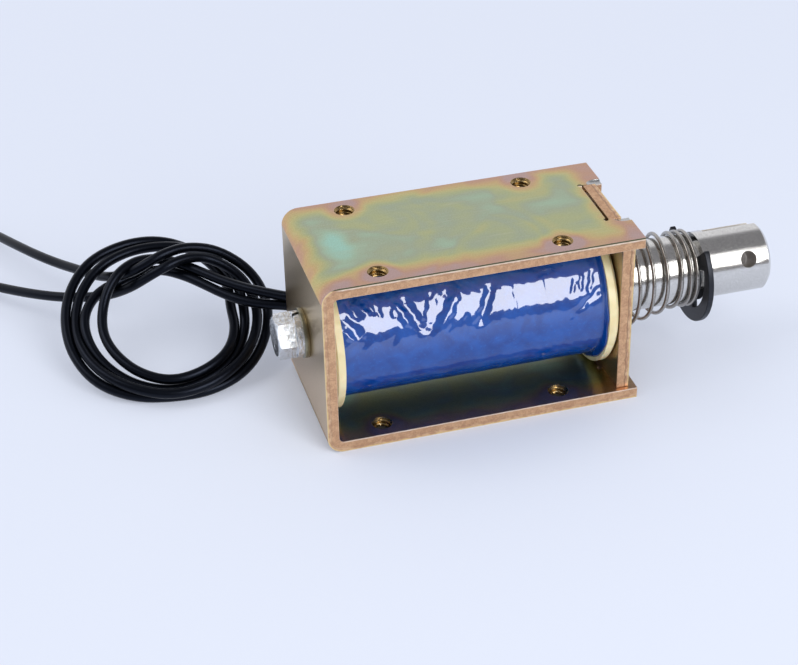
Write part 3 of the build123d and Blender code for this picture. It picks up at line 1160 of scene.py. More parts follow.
@dataclass(frozen=True)
class WireJacket(Finish):
    """Smooth black insulation, a little dusty, glossy along its length."""

    colour: Colour = linear(2, 3, 6)
    dust: Colour = linear(8, 9, 14)
    sheen: Colour = linear(206, 220, 255)

    def paint(self, graph: Graph, place: Socket) -> dict[str, Value]:
        """Leave a little dust on the black.

        Args:
            graph: The material's graph.
            place: Object coordinates in millimetres.

        Returns:
            Values or sockets by the names of the shader's inputs.
        """
        fine = graph.effect(self.effects.grain, place, Scale=0.8)
        return {
            "Base Color": graph.mix(graph.rise(fine, 0.55, 0.8), self.colour, self.dust),
            "Roughness": graph.spread(fine, 0.1, 0.26),
            "Specular IOR Level": 0.22,
            "Specular Tint": self.sheen,
            "Normal": graph.bump(fine, 0.02 * MM, 0.3),
        }


@dataclass(frozen=True)
class PaleSweep:
    """The pale paper sweep that the object stands on, which fades into the backdrop far from it."""

    backdrop: Colour
    name: str = "pale sweep"
    paper: Colour = linear(216, 221, 232)
    near_radius: float = 0.09
    far_radius: float = 0.42
    least_share: float = 0.36
    shaded_radius: float = 0.024
    clear_radius: float = 0.05
    # Painted shadow: a dark patch on the floor under the channel's footprint
    painted_shadow: Colour = linear(70, 68, 66)
    painted_shadow_x: float = 0.029
    painted_shadow_y: float = 0.0145

    def build(self) -> Material:
        """Build the material, with a painted shadow under the channel, which shows through its tapped
        holes.

        Returns:
            The material.
        """
        made, graph, shader = start_material(self.name)
        place = graph.node("ShaderNodeTexCoord").outputs["Object"]
        drift = graph.swing(graph.noise(place, 2.2, 1.0), 0.02, graph.length(place))
        far = graph.rise(drift, self.near_radius, self.far_radius)
        near = graph.times(graph.rise(drift, self.shaded_radius, self.clear_radius), self.least_share)
        share = graph.spread(far, 1.0 - self.least_share, near)
        # Painted shadow under the channel's footprint, seen through its tapped holes
        x, y, _ = graph.split(place)
        under = graph.times(graph.math("ABSOLUTE", x), self.painted_shadow_y / self.painted_shadow_x)
        under = graph.math("MAXIMUM", under, graph.math("ABSOLUTE", y))
        outside_painted_shadow = graph.rise(under, self.painted_shadow_y - MM, self.painted_shadow_y)
        paper = {
            "Base Color": graph.mix(outside_painted_shadow, self.painted_shadow, self.paper),
            "Roughness": 0.9,
            "Specular IOR Level": 0.1,
        }
        graph.fill(shader, paper)
        seen = graph.math("MAXIMUM", *graph.seen_and_mirrored())
        glow = graph.node("ShaderNodeEmission", {"Color": self.backdrop})
        whole = graph.mix_shaders(graph.times(share, seen), shader, glow)
        graph.fill(graph.tree.nodes["Material Output"], {"Surface": whole.outputs[0]})
        return made


# Stage


@dataclass(frozen=True)
class Softbox:
    """One soft lamp, placed by its direction from the object's middle."""

    name: str
    direction: Triple
    distance: float
    width: float
    height: float
    brightness: float

    def build(self, aim: Vector) -> None:
        """Make the lamp.

        Args:
            aim: The point that it faces.
        """
        lamp = bpy.data.lights.new(self.name, "AREA")
        lamp.shape = "RECTANGLE"
        lamp.size = self.width
        lamp.size_y = self.height
        lamp.energy = self.brightness * math.pi * self.width * self.height
        holder = link_new(self.name, lamp)
        away = Vector(self.direction).normalized()
        holder.location = aim + away * self.distance
        holder.rotation_euler = away.to_track_quat("Z", "Y").to_euler()
        holder.visible_camera = False


@dataclass(frozen=True)
class Studio:
    """The camera, the lamps, the world and the floor."""

    camera_place: Triple = (-0.096805, -0.309008, 0.222775)
    camera_right: Triple = (0.96015, -0.27888, -0.01852)
    camera_up: Triple = (0.16690, 0.51894, 0.83836)
    camera_back: Triple = (-0.22419, -0.80804, 0.54480)
    image_width: int = 798
    focal_pixels: float = 1925.8
    sensor: float = 36.0
    nearest: float = 0.01
    farthest: float = 20.0
    floor_half: float = 2.5
    floor_front: float = -0.55
    backdrop: Colour = linear(228, 234, 251)
    room: Colour = (0.90, 0.93, 1.0, 1.0)
    room_strength: float = 0.8
    dark_ceiling: Colour = (0.27, 0.27, 0.29, 1.0)
    pale_wall: Colour = (0.90, 0.91, 0.96, 1.0)
    lamps: tuple[Softbox, ...] = (
        Softbox("front softbox", (0.27, -0.79, 0.545), 0.9, 0.42, 0.64, 5.6),
        Softbox("rear left softbox", (-0.62, 0.12, 0.77), 1.2, 0.7, 0.6, 2.2),
    )

    def camera(self) -> None:
        """Place the camera at the photograph's viewpoint."""
        data = bpy.data.cameras.new("camera")
        data.sensor_width = self.sensor
        data.lens = self.focal_pixels / self.image_width * self.sensor
        data.clip_start = self.nearest
        data.clip_end = self.farthest
        holder = link_new("camera", data)
        columns = Matrix((self.camera_right, self.camera_up, self.camera_back)).transposed()
        holder.matrix_world = Matrix.Translation(self.camera_place) @ columns.to_4x4()
        bpy.context.scene.camera = holder

    def floor(self) -> None:
        """Lay the pale floor."""
        bm = bmesh.new()
        bmesh.ops.create_grid(bm, x_segments=8, y_segments=8, size=self.floor_half)
        bmesh.ops.translate(bm, vec=(0.0, self.floor_front + self.floor_half, 0.0), verts=bm.verts)
        sweep = new_piece(bm, "floor")
        dress(sweep, PaleSweep(self.backdrop).build())

    def world(self) -> None:
        """Light the room softly, show mirrors a dark ceiling, and show the camera a pale backdrop."""
        world = bpy.data.worlds.new("room")
        world.use_nodes = True
        bpy.context.scene.world = world
        graph = Graph(world.node_tree)
        _, back, height = graph.split(graph.node("ShaderNodeTexCoord").outputs["Generated"])
        wall = graph.times(graph.rise(back, -0.25, 0.25), graph.rise(height, 0.80, 0.66))
        reflected = graph.mix(wall, self.dark_ceiling, self.pale_wall)
        lit = graph.node("ShaderNodeBackground", {"Color": self.room, "Strength": self.room_strength})
        shown = graph.node("ShaderNodeBackground", {"Color": reflected, "Strength": 1.0})
        backdrop = graph.node("ShaderNodeBackground", {"Color": self.backdrop, "Strength": 1.0})
        seen, mirrored = graph.seen_and_mirrored()
        whole = graph.mix_shaders(seen, graph.mix_shaders(mirrored, lit, shown), backdrop)
        graph.node("ShaderNodeOutputWorld", {"Surface": whole.outputs[0]})

    def build(self, aim: Vector) -> None:
        """Build the whole stage.

        Args:
            aim: The point that the lamps face.
        """
        self.camera()
        self.floor()
        self.world()
        for lamp in self.lamps:
            lamp.build(aim)
        bpy.context.scene.view_settings.view_transform = "Standard"


# The object


@dataclass(frozen=True)
class Channel(AxialPiece):
    """The bent steel channel with its tapped holes and front notches."""

    sheet: float
    bend_inside: float = 1.0 * MM
    bend_segments: int = 10
    hole_x: float = 18.3 * MM
    hole_y: float = 12.2 * MM
    thread: Thread = Thread(2.0 * MM, 1.65 * MM, 0.7 * MM)
    countersink: float = 0.45 * MM
    tab_half: float = 7.2 * MM
    notch_x: float = 29.1 * MM
    relief_radius: float = 0.5 * MM
    screw_hole: float = 2.65 * MM
    edge_round: float = 0.26 * MM
    stake_size: Triple = (2.3 * MM, 1.3 * MM, 0.4 * MM)
    stake_from_front: float = 0.9 * MM
    stake_from_notch: float = 0.3 * MM

    def body(self, low: Vector, high: Vector) -> Object:
        """Fold the sheet into its U.

        Args:
            low: The channel's lowest corner.
            high: Its highest corner.

        Returns:
            The folded sheet, without its holes.
        """
        bm = bmesh.new()
        path = [(high.x, low.z), (low.x, low.z), (low.x, high.z), (high.x, high.z)]
        verts = [bm.verts.new((x, low.y, z)) for x, z in path]
        for pair in zip(verts, verts[1:]):
            bm.edges.new(pair)
        bmesh.ops.bevel(
            bm,
            geom=verts[1:3],
            offset=self.bend_inside + self.sheet,
            offset_type="OFFSET",
            segments=self.bend_segments,
            profile=0.5,
            affect="VERTICES",
            material=-1,
        )
        draw_out(bm, bmesh.ops.extrude_edge_only(bm, edges=bm.edges), (0.0, high.y - low.y, 0.0))
        bmesh.ops.recalc_face_normals(bm, faces=bm.faces)
        rear = min(bm.faces, key=lambda f: f.calc_center_median().x)
        if rear.normal.dot(rear.calc_center_median() - (low + high) / 2) < 0:
            bmesh.ops.reverse_faces(bm, faces=bm.faces)
        bmesh.ops.solidify(bm, geom=bm.faces, thickness=self.sheet)
        return new_piece(bm, "channel_shell")

    def cutters(self, low: Vector, high: Vector) -> list[Object]:
        """Make the solids that cut the notches, tapped holes and the screw hole.

        Args:
            low: The channel's lowest corner.
            high: Its highest corner.

        Returns:
            The cutters.
        """
        under, over = low.z - PAST, high.z + PAST
        rear_corner = (self.notch_x, -self.tab_half, under)
        made = [block("notch", rear_corner, (high.x + PAST, self.tab_half, over))]
        for side in (-1, 1):
            middle = under + (over - under) / 2
            place = Matrix.Translation((self.notch_x, side * self.tab_half, middle))
            made.append(cone("relief", (self.relief_radius, self.relief_radius), over - under, place))
        for x, y in [(sx * self.hole_x, sy * self.hole_y) for sx in (-1, 1) for sy in (-1, 1)]:
            for bottom in (low.z, high.z - self.sheet):
                top = bottom + self.sheet
                made.append(self.thread.rod(x, y, bottom - PAST, top + PAST))
                made += [self.lead_in(x, y, bottom, 1), self.lead_in(x, y, top, -1)]
        for side in (-1, 1):
            y = side * (self.tab_half + self.stake_from_notch)
            made += [self.stake(high.x - self.stake_from_front, y, face) for face in (low.z, high.z)]
        bore = band(low.x - PAST, low.x + self.sheet + PAST, self.screw_hole)
        made.append(self.turned("screw_hole", bore, 48))
        return made

    def lead_in(self, x: float, y: float, face: float, inwards: int) -> Object:
        """Make the cone that breaks a tapped hole's edge.

        Args:
            x: The hole's place along X.
            y: The hole's place along Y.
            face: The height of the plate's face.
            inwards: 1 where the plate is above the face, -1 where it is below.

        Returns:
            The cone.
        """
        radii = (self.thread.major_radius + self.countersink, self.thread.minor_radius)
        place = Matrix.Translation((x, y, face))
        return cone("lead_in", radii[::inwards], 2 * (radii[0] - radii[1]), place, 40, FaceKind.THREAD)

    def stake(self, x: float, y: float, face: float) -> Object:
        """Make the punch that leaves one staking dent beside a tab.

        Args:
            x: The dent's place along X.
            y: The dent's place along Y.
            face: The height of the plate's face.

        Returns:
            The punch.
        """
        bm = bmesh.new()
        bmesh.ops.create_uvsphere(bm, u_segments=20, v_segments=12, radius=1.0)
        bmesh.ops.scale(bm, vec=self.stake_size, verts=bm.verts)
        bmesh.ops.translate(bm, vec=(x, y, face), verts=bm.verts)
        return new_piece(bm, "stake", face_index=FaceKind.STAKED)

    def mark_cut_faces(self, piece: Object, low: Vector) -> None:
        """Give the sheet's cut edges their own material index.

        Args:
            piece: The cut channel.
            low: Its lowest corner.
        """
        for face in piece.data.polygons:
            upright = abs(face.normal.z) < LOOKS_ALONG and face.material_index == FaceKind.SKIN
            side = abs(face.normal.y) > LOOKS_ALONG
            past_bend = face.center.x > low.x + self.sheet + self.bend_inside
            if upright and (side or past_bend):
                face.material_index = FaceKind.CUT

    def build(self, *materials: Material) -> Object:
        """Build the channel.

        Args:
            materials: The skin, the cut edge, the thread and the bare staked steel.

        Returns:
            The dressed channel.
        """
        low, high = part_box("channel_frame")
        piece = self.body(low, high)
        dress(piece, *materials)
        carve(piece, self.cutters(low, high))
        self.mark_cut_faces(piece, low)
        soften(piece, self.edge_round, sheet=True)
        return piece


@dataclass(frozen=True)
class EndPlate(AxialPiece):
    """The front pole plate with its two tabs."""

    sheet: float
    tab_half: float = 7.15 * MM
    bore: float = 7.59 * MM
    edge_round: float = 0.15 * MM

    def build(self, *materials: Material) -> Object:
        """Build the plate.

        Args:
            materials: The skin and the cut edge.

        Returns:
            The plate.
        """
        low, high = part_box("end_plate")
        widths = (low.y, -self.tab_half, -self.tab_half, self.tab_half, self.tab_half, high.y)
        heights = (self.sheet, self.sheet, 0.0, 0.0, self.sheet, self.sheet)
        lower = [(y, low.z + height) for y, height in zip(widths, heights)]
        upper = [(y, low.z + high.z - z) for y, z in reversed(lower)]
        bm = bmesh.new()
        face = bm.faces.new([bm.verts.new((low.x, y, z)) for y, z in lower + upper])
        draw_out(bm, bmesh.ops.extrude_face_region(bm, geom=[face]), (high.x - low.x, 0.0, 0.0))
        piece = new_piece(bm, "front_plate")
        dress(piece, *materials)
        carve(piece, [self.turned("bore", band(low.x - PAST, high.x + PAST, self.bore))])
        for polygon in piece.data.polygons:
            flat = abs(polygon.normal.x) > LOOKS_ALONG
            polygon.material_index = FaceKind.SKIN if flat else FaceKind.CUT
        soften(piece, self.edge_round, sheet=True)
        return piece


@dataclass(frozen=True)
class Spool(AxialPiece):
    """The moulded spool that carries the winding."""

    flange: float = 2.0 * MM
    rim_round: float = 0.6 * MM
    bore: float = 7.59 * MM
    barrel: float = 8.59 * MM
    notch_depth: float = 2.4 * MM
    window_low: float = 11.0 * MM
    window_high: float = 17.8 * MM
    edge_round: float = 0.25 * MM

    def build(self, material: Material) -> Object:
        """Build the spool.

        Args:
            material: Its finish.

        Returns:
            The spool.
        """
        low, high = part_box("bobbin")
        rim = (high.y - low.y) / 2
        r = self.rim_round
        profile = [(low.x, self.bore), (low.x, rim - r), (low.x + r, rim)]
        profile += [(low.x + self.flange, rim), (low.x + self.flange, self.barrel)]
        profile += [(high.x - self.flange, self.barrel), (high.x - self.flange, rim)]
        profile += [(high.x - r, rim), (high.x, rim - r), (high.x, self.bore)]
        piece = self.turned("spool", profile, 128, closed=True)
        dress(piece, material)
        inner_corner = (low.x - PAST, rim - self.notch_depth, self.window_low)
        outer_corner = (low.x + self.flange + PAST / 2, rim + PAST, self.window_high)
        carve(piece, [block("notch", inner_corner, outer_corner)])
        soften(piece, self.edge_round, 3)
        return piece


@dataclass(frozen=True)
class Fold:
    """One straight fold of the film, between two places on the coil.

    A place is an X in millimetres and an angle in degrees up from the -Y side. The rest is
    in millimetres, apart from the fade, which is the share of the length at either end
    where the fold grows to its depth.
    """

    start_x: float
    start_angle: float
    end_x: float
    end_angle: float
    half_width: float
    crest: float
    depth: float
    fade: float = 0.2

    def sink(self, x: float, along_rim: float, radius: float) -> float:
        """Work out how deep the fold lies at one place.

        Args:
            x: The place along X, in millimetres.
            along_rim: The place round the coil, in millimetres.
            radius: The coil's radius in millimetres.

        Returns:
            The depth in millimetres, positive inwards.
        """
        start_rim = math.radians(self.start_angle) * radius
        run_x = self.end_x - self.start_x
        run_rim = math.radians(self.end_angle) * radius - start_rim
        length = math.hypot(run_x, run_rim)
        off_x = x - self.start_x
        off_rim = along_rim - start_rim
        along = (off_x * run_x + off_rim * run_rim) / length
        if not 0.0 < along < length:
            return 0.0
        ragged = 0.12 * math.sin(along_rim * 2.1 + x) + 0.09 * math.sin(along_rim * 3.7 - x * 1.3)
        straight = (off_rim * run_x - off_x * run_rim) / length
        across = abs(straight + ragged * min(self.half_width, 1.0))
        if across > self.half_width:
            return 0.0
        end = min(along, length - along) / (self.fade * length)
        flank = (self.half_width - across) / (self.half_width - self.crest)
        return self.depth * min(end, 1.0) * min(flank, 1.0)


@dataclass(frozen=True)
class Crinkle:
    """A train of flat facets across the film, in millimetres and degrees."""

    length: float
    heading: float
    depth: float

    def sink(self, x: float, along_rim: float, place: int) -> float:
        """Work out how deep the facets lie at one place.

        Args:
            x: The warped place along X, in millimetres.
            along_rim: The warped place round the coil, in millimetres.
            place: The train's place among its kind, which shifts it.

        Returns:
            The depth in millimetres, positive inwards.
        """
        turn = math.radians(self.heading)
        phase = (x * math.cos(turn) + along_rim * math.sin(turn)) / self.length + 0.37 * place
        facet = 4 * abs(phase - math.floor(phase) - 0.5) - 1
        swell = 0.6 + 0.4 * math.sin(x / (4.1 + place) + along_rim / (3.7 + 0.6 * place) + 1.9 * place)
        return self.depth / 2 * facet * swell


@dataclass(frozen=True)
class CoilTape(AxialPiece):
    """The wrapped film over the winding, folded and crinkled where it was pulled tight.

    The deepest and the highest place are in millimetres. The film is calm on the far side
    of the coil, past the two calm angles.
    """

    steps: int = 336
    rings: int = 235
    wall: float = 0.4 * MM
    deepest: float = 0.34
    highest: float = 0.26
    calm_from: float = 140.0
    calm_to: float = 165.0
    window_end: float = -17.0 * MM
    window_low: float = 11.27 * MM
    window_high: float = 17.53 * MM
    turned_up: float = 1.75 * MM
    turned_length: float = 0.62 * MM
    folds: tuple[Fold, ...] = (
        Fold(5.4, 50.0, 1.0, 12.0, 1.32, 0.22, 0.33),
        Fold(-3.0, 50.0, -9.6, 16.0, 2.04, 0.5, 0.36),
        Fold(-1.6, 50.0, -7.6, 6.0, 1.32, 0.12, -0.33),
        Fold(-7.0, 50.0, -8.9, 24.0, 1.08, 0.0, 0.28),
        Fold(-13.4, 50.0, -9.2, 14.0, 1.44, 0.16, 0.36),
        Fold(-14.9, 46.0, -12.0, 22.0, 1.2, 0.0, -0.28),
        Fold(-24.2, 52.0, -21.6, 34.0, 1.08, 0.0, 0.28),
        Fold(-22.4, 52.0, -19.9, 36.0, 1.08, 0.0, -0.26),
        Fold(-20.6, 52.0, -18.3, 37.0, 1.08, 0.0, 0.28),
        Fold(-25.6, 40.0, -21.9, 22.0, 1.44, 0.0, 0.33),
        Fold(-25.2, 30.0, -23.2, 16.0, 1.08, 0.0, -0.26),
        Fold(-18.0, 50.0, -17.7, 33.0, 0.66, 0.0, 0.15),
        Fold(-15.4, 40.0, -14.9, 32.0, 0.6, 0.0, -0.13),
        Fold(28.4, 34.0, 18.0, 2.0, 0.96, 0.0, 0.2),
        Fold(9.3, 50.0, 9.0, 12.0, 0.42, 0.0, 0.06),
        Fold(15.6, 50.0, 15.9, 10.0, 0.42, 0.0, 0.05),
        Fold(21.9, 40.0, 20.4, 26.0, 0.6, 0.0, 0.15),
        Fold(23.2, 44.0, 22.4, 28.0, 0.6, 0.0, -0.15),
        Fold(25.6, 46.0, 24.0, 24.0, 0.72, 0.0, 0.17),
        Fold(-0.6, 28.0, -1.8, 2.0, 0.84, 0.0, 0.19),
        Fold(-5.6, 26.0, -4.2, 2.0, 0.96, 0.0, -0.19),
        Fold(-14.5, 24.0, -19.0, -8.0, 1.2, 0.0, 0.15),
        Fold(-20.0, 24.0, -25.5, -6.0, 1.2, 0.0, 0.15),
        Fold(-24.5, 52.0, -8.0, 62.0, 1.92, 0.0, 0.18),
        Fold(2.0, 66.0, 20.0, 56.0, 2.16, 0.0, 0.15),
    )
    crinkles: tuple[Crinkle, ...] = (
        Crinkle(6.1, 28.0, 0.05),
        Crinkle(4.7, -35.0, 0.05),
        Crinkle(8.3, 78.0, 0.05),
        Crinkle(1.9, 33.0, 0.034),
        Crinkle(1.5, -22.0, 0.02),
    )

    def sink(self, x: float, angle: float, radius: float) -> float:
        """Work out how deep the film lies under its outer radius at one place.

        Args:
            x: The place along X, in millimetres.
            angle: The place round the coil, in radians up from the -Y side.
            radius: The coil's radius in millimetres.

        Returns:
            The depth in millimetres, positive inwards.
        """
        rim = angle * radius
        warp_x = x + 0.7 * math.sin(rim / 2.3 + 1.3) + 0.4 * math.sin(rim / 0.9 + x / 3.1)
        warp_rim = rim + 0.7 * math.sin(x / 2.3 + 0.4) + 0.4 * math.sin(x / 1.1 + 2.0)
        waves = sum(wave.sink(warp_x, warp_rim, k) for k, wave in enumerate(self.crinkles))
        calm = smoothstep(math.radians(self.calm_from), math.radians(self.calm_to), abs(angle))
        depth = waves * (1.0 - calm) + sum(fold.sink(x, rim, radius) for fold in self.folds)
        return min(max(depth, -self.highest), self.deepest)

    def build(self, material: Material) -> Object:
        """Build the tape.

        Args:
            material: Its finish.

        Returns:
            The tape.
        """
        low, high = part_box("coil_tape")
        outer = (high.z - low.z) / 2
        inner = outer - self.wall
        skin = outer - self.wall / 2
        bm = self.spun(band(low.x, high.x, outer, inner), self.steps, closed=True)
        middle = Vector((0.0, 0.0, self.axis))
        long = [
            edge
            for edge in bm.edges
            if abs(edge.verts[0].co.x - edge.verts[1].co.x) > MM
            and (edge.verts[0].co.yz - middle.yz).length > skin
        ]
        bmesh.ops.subdivide_edges(bm, edges=long, cuts=self.rings, use_grid_fill=True)
        for vert in bm.verts:
            out = Vector((0.0, vert.co.y, vert.co.z - self.axis))
            if out.length > skin:
                angle = math.atan2(out.z, -out.y)
                vert.co -= out.normalized() * self.sink(vert.co.x / MM, angle, outer / MM) * MM
                climb = smoothstep(high.x - self.turned_length, high.x, vert.co.x)
                ragged = 0.85 + 0.15 * math.sin(angle * 9.0 + 2.0 * math.sin(angle * 4.0))
                vert.co += out.normalized() * climb * self.turned_up * ragged
        piece = new_piece(bm, "blue_tape_wrap")
        dress(piece, material)
        inner_corner = (low.x - PAST, inner / 2, self.window_low)
        outer_corner = (self.window_end, outer + PAST, self.window_high)
        carve(piece, [block("window", inner_corner, outer_corner)])
        return piece


@dataclass(frozen=True)
class Armature(AxialPiece):
    """The sliding plunger: cone, clip groove, fork slot and cross hole."""

    nose_base: float = 6.4 * MM
    nose_tip: float = 2.0 * MM
    nose_length: float = 5.0 * MM
    chamfer: float = 0.7 * MM
    groove_radius: float = 5.0 * MM
    groove_from_end: float = 14.35 * MM
    groove_width: float = 1.3 * MM
    slot_width: float = 4.0 * MM
    slot_depth: float = 12.0 * MM
    hole_radius: float = 1.75 * MM
    hole_from_end: float = 5.0 * MM
    roll: float = -28.0
    edge_round: float = 0.18 * MM

    def build(self, *materials: Material) -> Object:
        """Build the plunger.

        Args:
            materials: Its finish, and that of its milled slot and drilled hole.

        Returns:
            The plunger.
        """
        low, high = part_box("plunger")
        radius = (high.y - low.y) / 2
        groove_end = high.x - self.groove_from_end
        groove_start = groove_end - self.groove_width
        shoulder = low.x + self.nose_length
        profile = [(low.x, 0.0), (low.x, self.nose_tip), (shoulder, self.nose_base), (shoulder, radius)]
        profile += [(groove_start, radius), (groove_start, self.groove_radius)]
        profile += [(groove_end, self.groove_radius), (groove_end, radius)]
        profile += [(high.x - self.chamfer, radius), (high.x, radius - self.chamfer), (high.x, 0.0)]
        piece = self.turned("armature", profile, 128)
        dress(piece, *materials)
        turn = Matrix.Translation((0.0, 0.0, self.axis)) @ Matrix.Rotation(math.radians(self.roll), 4, "X")
        half, reach = self.slot_width / 2, radius + PAST
        rear_corner = (high.x - self.slot_depth, -half, -reach)
        slot = block("slot", rear_corner, (high.x + PAST, half, reach), turn, FaceKind.CUT)
        along_y = Matrix.Rotation(QUARTER_TURN, 4, "X")
        place = turn @ Matrix.Translation((high.x - self.hole_from_end, 0.0, 0.0)) @ along_y
        hole = cone("cross_hole", (self.hole_radius, self.hole_radius), 2 * reach, place, 48, FaceKind.CUT)
        carve(piece, [slot, hole])
        soften(piece, self.edge_round)
        return piece


@dataclass(frozen=True)
class RearFastener(AxialPiece):
    """The hexagon screw with its split and flat washers."""

    flats: float = 8.0 * MM
    head: float = 3.8 * MM
    shank: float = 2.47 * MM
    crown: float = 0.5 * MM
    recess_span: float = 5.0 * MM
    recess_slot: float = 0.9 * MM
    recess_depth: float = 1.2 * MM
    bore: float = 2.65 * MM
    split: float = 0.8 * MM
    split_angle: float = 20.0
    edge_round: float = 0.12 * MM
    facet_angle: float = 25.0

    def screw(self, material: Material) -> Object:
        """Build the screw.

        Args:
            material: Its finish.

        Returns:
            The screw.
        """
        low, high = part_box("rear_screw")
        corner = self.flats / math.sqrt(3)
        under_head = low.x + self.head
        along_x = Matrix.Rotation(QUARTER_TURN, 4, "Y")
        place = Matrix.Translation((low.x + self.head / 2, 0.0, self.axis)) @ along_x
        piece = cone("hexagon_screw", (corner, corner), self.head, place, 6)
        dress(piece, material)
        crown = [(low.x, 0.0), (low.x, self.flats / 2 - self.crown / 2), (low.x + self.crown, corner)]
        crown += [(under_head, corner), (under_head, 0.0)]
        carve(piece, [self.turned("crown", crown, 64)], "INTERSECT")
        shank = self.turned("shank", band(under_head - PAST / 2, high.x, self.shank), 48)
        carve(piece, [shank], "UNION")
        start, end = low.x - PAST, low.x + self.recess_depth
        half_span, half_slot = self.recess_span / 2, self.recess_slot / 2
        cross = [
            block("recess", (start, -y, self.axis - z), (end, y, self.axis + z))
            for y, z in ((half_span, half_slot), (half_slot, half_span))
        ]
        carve(piece, cross)
        for polygon in piece.data.polygons:
            polygon.use_smooth = True
        soften(piece, self.edge_round, 2, self.facet_angle)
        return piece

    def washer(self, node: str, name: str, material: Material, split: bool) -> Object:
        """Build one washer.

        Args:
            node: The CAD node whose place it takes.
            name: The object's name.
            material: Its finish.
            split: Whether it is split as a lock washer.

        Returns:
            The washer.
        """
        low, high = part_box(node)
        radius = (high.y - low.y) / 2
        piece = self.turned(name, band(low.x, high.x, radius, self.bore), 72, closed=True)
        dress(piece, material)
        if split:
            thick = high.x - low.x
            lean = Matrix.Rotation(math.radians(self.split_angle), 4, "Z")
            place = Matrix.Translation(((low.x + high.x) / 2, 0.0, self.axis + radius)) @ lean
            corner = Vector((2 * thick, self.split / 2, (2 * radius - self.bore) / 2))
            carve(piece, [block("split", -corner, corner, place)])
        soften(piece, self.edge_round)
        return piece


@dataclass(frozen=True)
class RetainingClip(AxialPiece):
    """The open ring that snaps into the plunger's groove. Its angles are in degrees."""

    seat: float = 5.05 * MM
    lobe: float = 8.4 * MM
    rim: float = 2.4 * MM
    rim_offset: float = 0.6 * MM
    mouth_angle: float = 101.5
    mouth_half: float = 52.0
    prong_angle: float = 26.0
    middle_prong: float = 4.4 * MM
    arc_step: float = 4.0
    edge_round: float = 0.2 * MM

    def build(self, material: Material) -> Object:
        """Build the clip.

        Args:
            material: Its finish.

        Returns:
            The clip.
        """
        low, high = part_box("e_clip")
        outer = self.lobe + self.rim
        half_prong = math.degrees(math.asin(self.middle_prong / 2 / self.seat))
        half_root = math.degrees(math.asin(self.middle_prong / 2 / self.lobe))
        arm = self.mouth_half + self.prong_angle
        stops = [
            (outer, self.mouth_half, 360.0 - self.mouth_half),
            (self.seat, 360.0 - self.mouth_half, 360.0 - arm),
            (self.lobe, 360.0 - arm, 180.0 + half_root),
            (self.seat, 180.0 + half_prong, 180.0 - half_prong),
            (self.lobe, 180.0 - half_root, arm),
            (self.seat, arm, self.mouth_half),
        ]
        bm = bmesh.new()
        turn = math.radians(180.0 - self.mouth_angle)
        rim = []
        for radius, first, last in stops:
            start = turn + math.radians(first)
            off = self.rim_offset if radius == outer else 0.0
            middle = Vector((low.x, -off * math.cos(turn), self.axis - off * math.sin(turn)))
            vert = bm.verts.new(middle + Vector((0.0, radius * math.cos(start), radius * math.sin(start))))
            steps = max(2, round(abs(last - first) / self.arc_step))
            arc = spin(bm, [vert], middle, math.radians(last - first), steps)
            rim.append((vert, arc["geom_last"][0]))
        for (_, end), (begin, _) in zip(rim, rim[1:] + rim[:1]):
            bm.edges.new((end, begin))
        bmesh.ops.contextual_create(bm, geom=bm.edges)
        draw_out(bm, bmesh.ops.extrude_face_region(bm, geom=bm.faces), (high.x - low.x, 0.0, 0.0))
        piece = new_piece(bm, "retaining_clip")
        dress(piece, material)
        soften(piece, self.edge_round)
        return piece


@dataclass(frozen=True)
class ReturnSpring(AxialPiece):
    """The conical wire spring between the end plate and the clip."""

    wire: float = 0.8 * MM
    big: float = 10.2 * MM
    small: float = 7.6 * MM
    taper_end: float = 45.5 * MM
    pitch: float = 3.25 * MM
    phase_x: float = 38.85 * MM
    phase_angle: float = -65.0
    plate_turns: float = 1.25
    plate_pitch: float = 1.1 * MM
    clip_turns: float = 2.0
    clip_pitch: float = 1.35 * MM
    end_gap: float = 0.05 * MM
    points_per_turn: int = 24

    def centreline(self, start: float, end: float) -> list[Vector]:
        """Work out the wire's middle line, with close turns at each end.

        Args:
            start: The middle of the first turn along X.
            end: The middle of the last turn along X.

        Returns:
            The points from the end plate to the clip.
        """
        open_start = start + self.plate_turns * self.plate_pitch
        open_end = end - self.clip_turns * self.clip_pitch
        from_phase = (self.phase_x - open_start) / self.pitch
        open_angle = math.radians(self.phase_angle) - from_phase * FULL_TURN
        open_turns = (open_end - open_start) / self.pitch
        total = round((self.plate_turns + open_turns + self.clip_turns) * self.points_per_turn)
        points = []
        for k in range(total + 1):
            turn = k / self.points_per_turn - self.plate_turns
            if turn < 0:
                x = open_start + turn * self.plate_pitch
            elif turn > open_turns:
                x = open_end + (turn - open_turns) * self.clip_pitch
            else:
                x = open_start + turn * self.pitch
            share = min(max((x - start) / (self.taper_end - start), 0.0), 1.0)
            radius = self.big + (self.small - self.big) * share
            angle = open_angle + turn * FULL_TURN
            points.append(Vector((x, -radius * math.cos(angle), self.axis + radius * math.sin(angle))))
        return points

    def build(self, start_face: float, end_face: float, material: Material) -> Object:
        """Build the spring.

        Args:
            start_face: The end plate's outer face along X.
            end_face: The clip's face along X.
            material: Its finish.

        Returns:
            The spring.
        """
        half = self.wire / 2 + self.end_gap
        piece = wire_piece("spring_wire", self.centreline(start_face + half, end_face - half), self.wire)
        dress(piece, material)
        return piece


def wire_piece(name: str, points: list[Vector], diameter: float) -> Object:
    """Make a closed round wire along a smooth line.

    Args:
        name: The object's name.
        points: The line's control points.
        diameter: The wire's diameter.

    Returns:
        The wire as a mesh.
    """
    curve = wire_curve(name + "_line", points, diameter)
    graph = bpy.context.evaluated_depsgraph_get()
    mesh = bpy.data.meshes.new_from_object(curve.evaluated_get(graph))
    bpy.data.objects.remove(curve)
    bm = bmesh.new()
    bm.from_mesh(mesh)
    bpy.data.meshes.remove(mesh)
    return new_piece(bm, name)


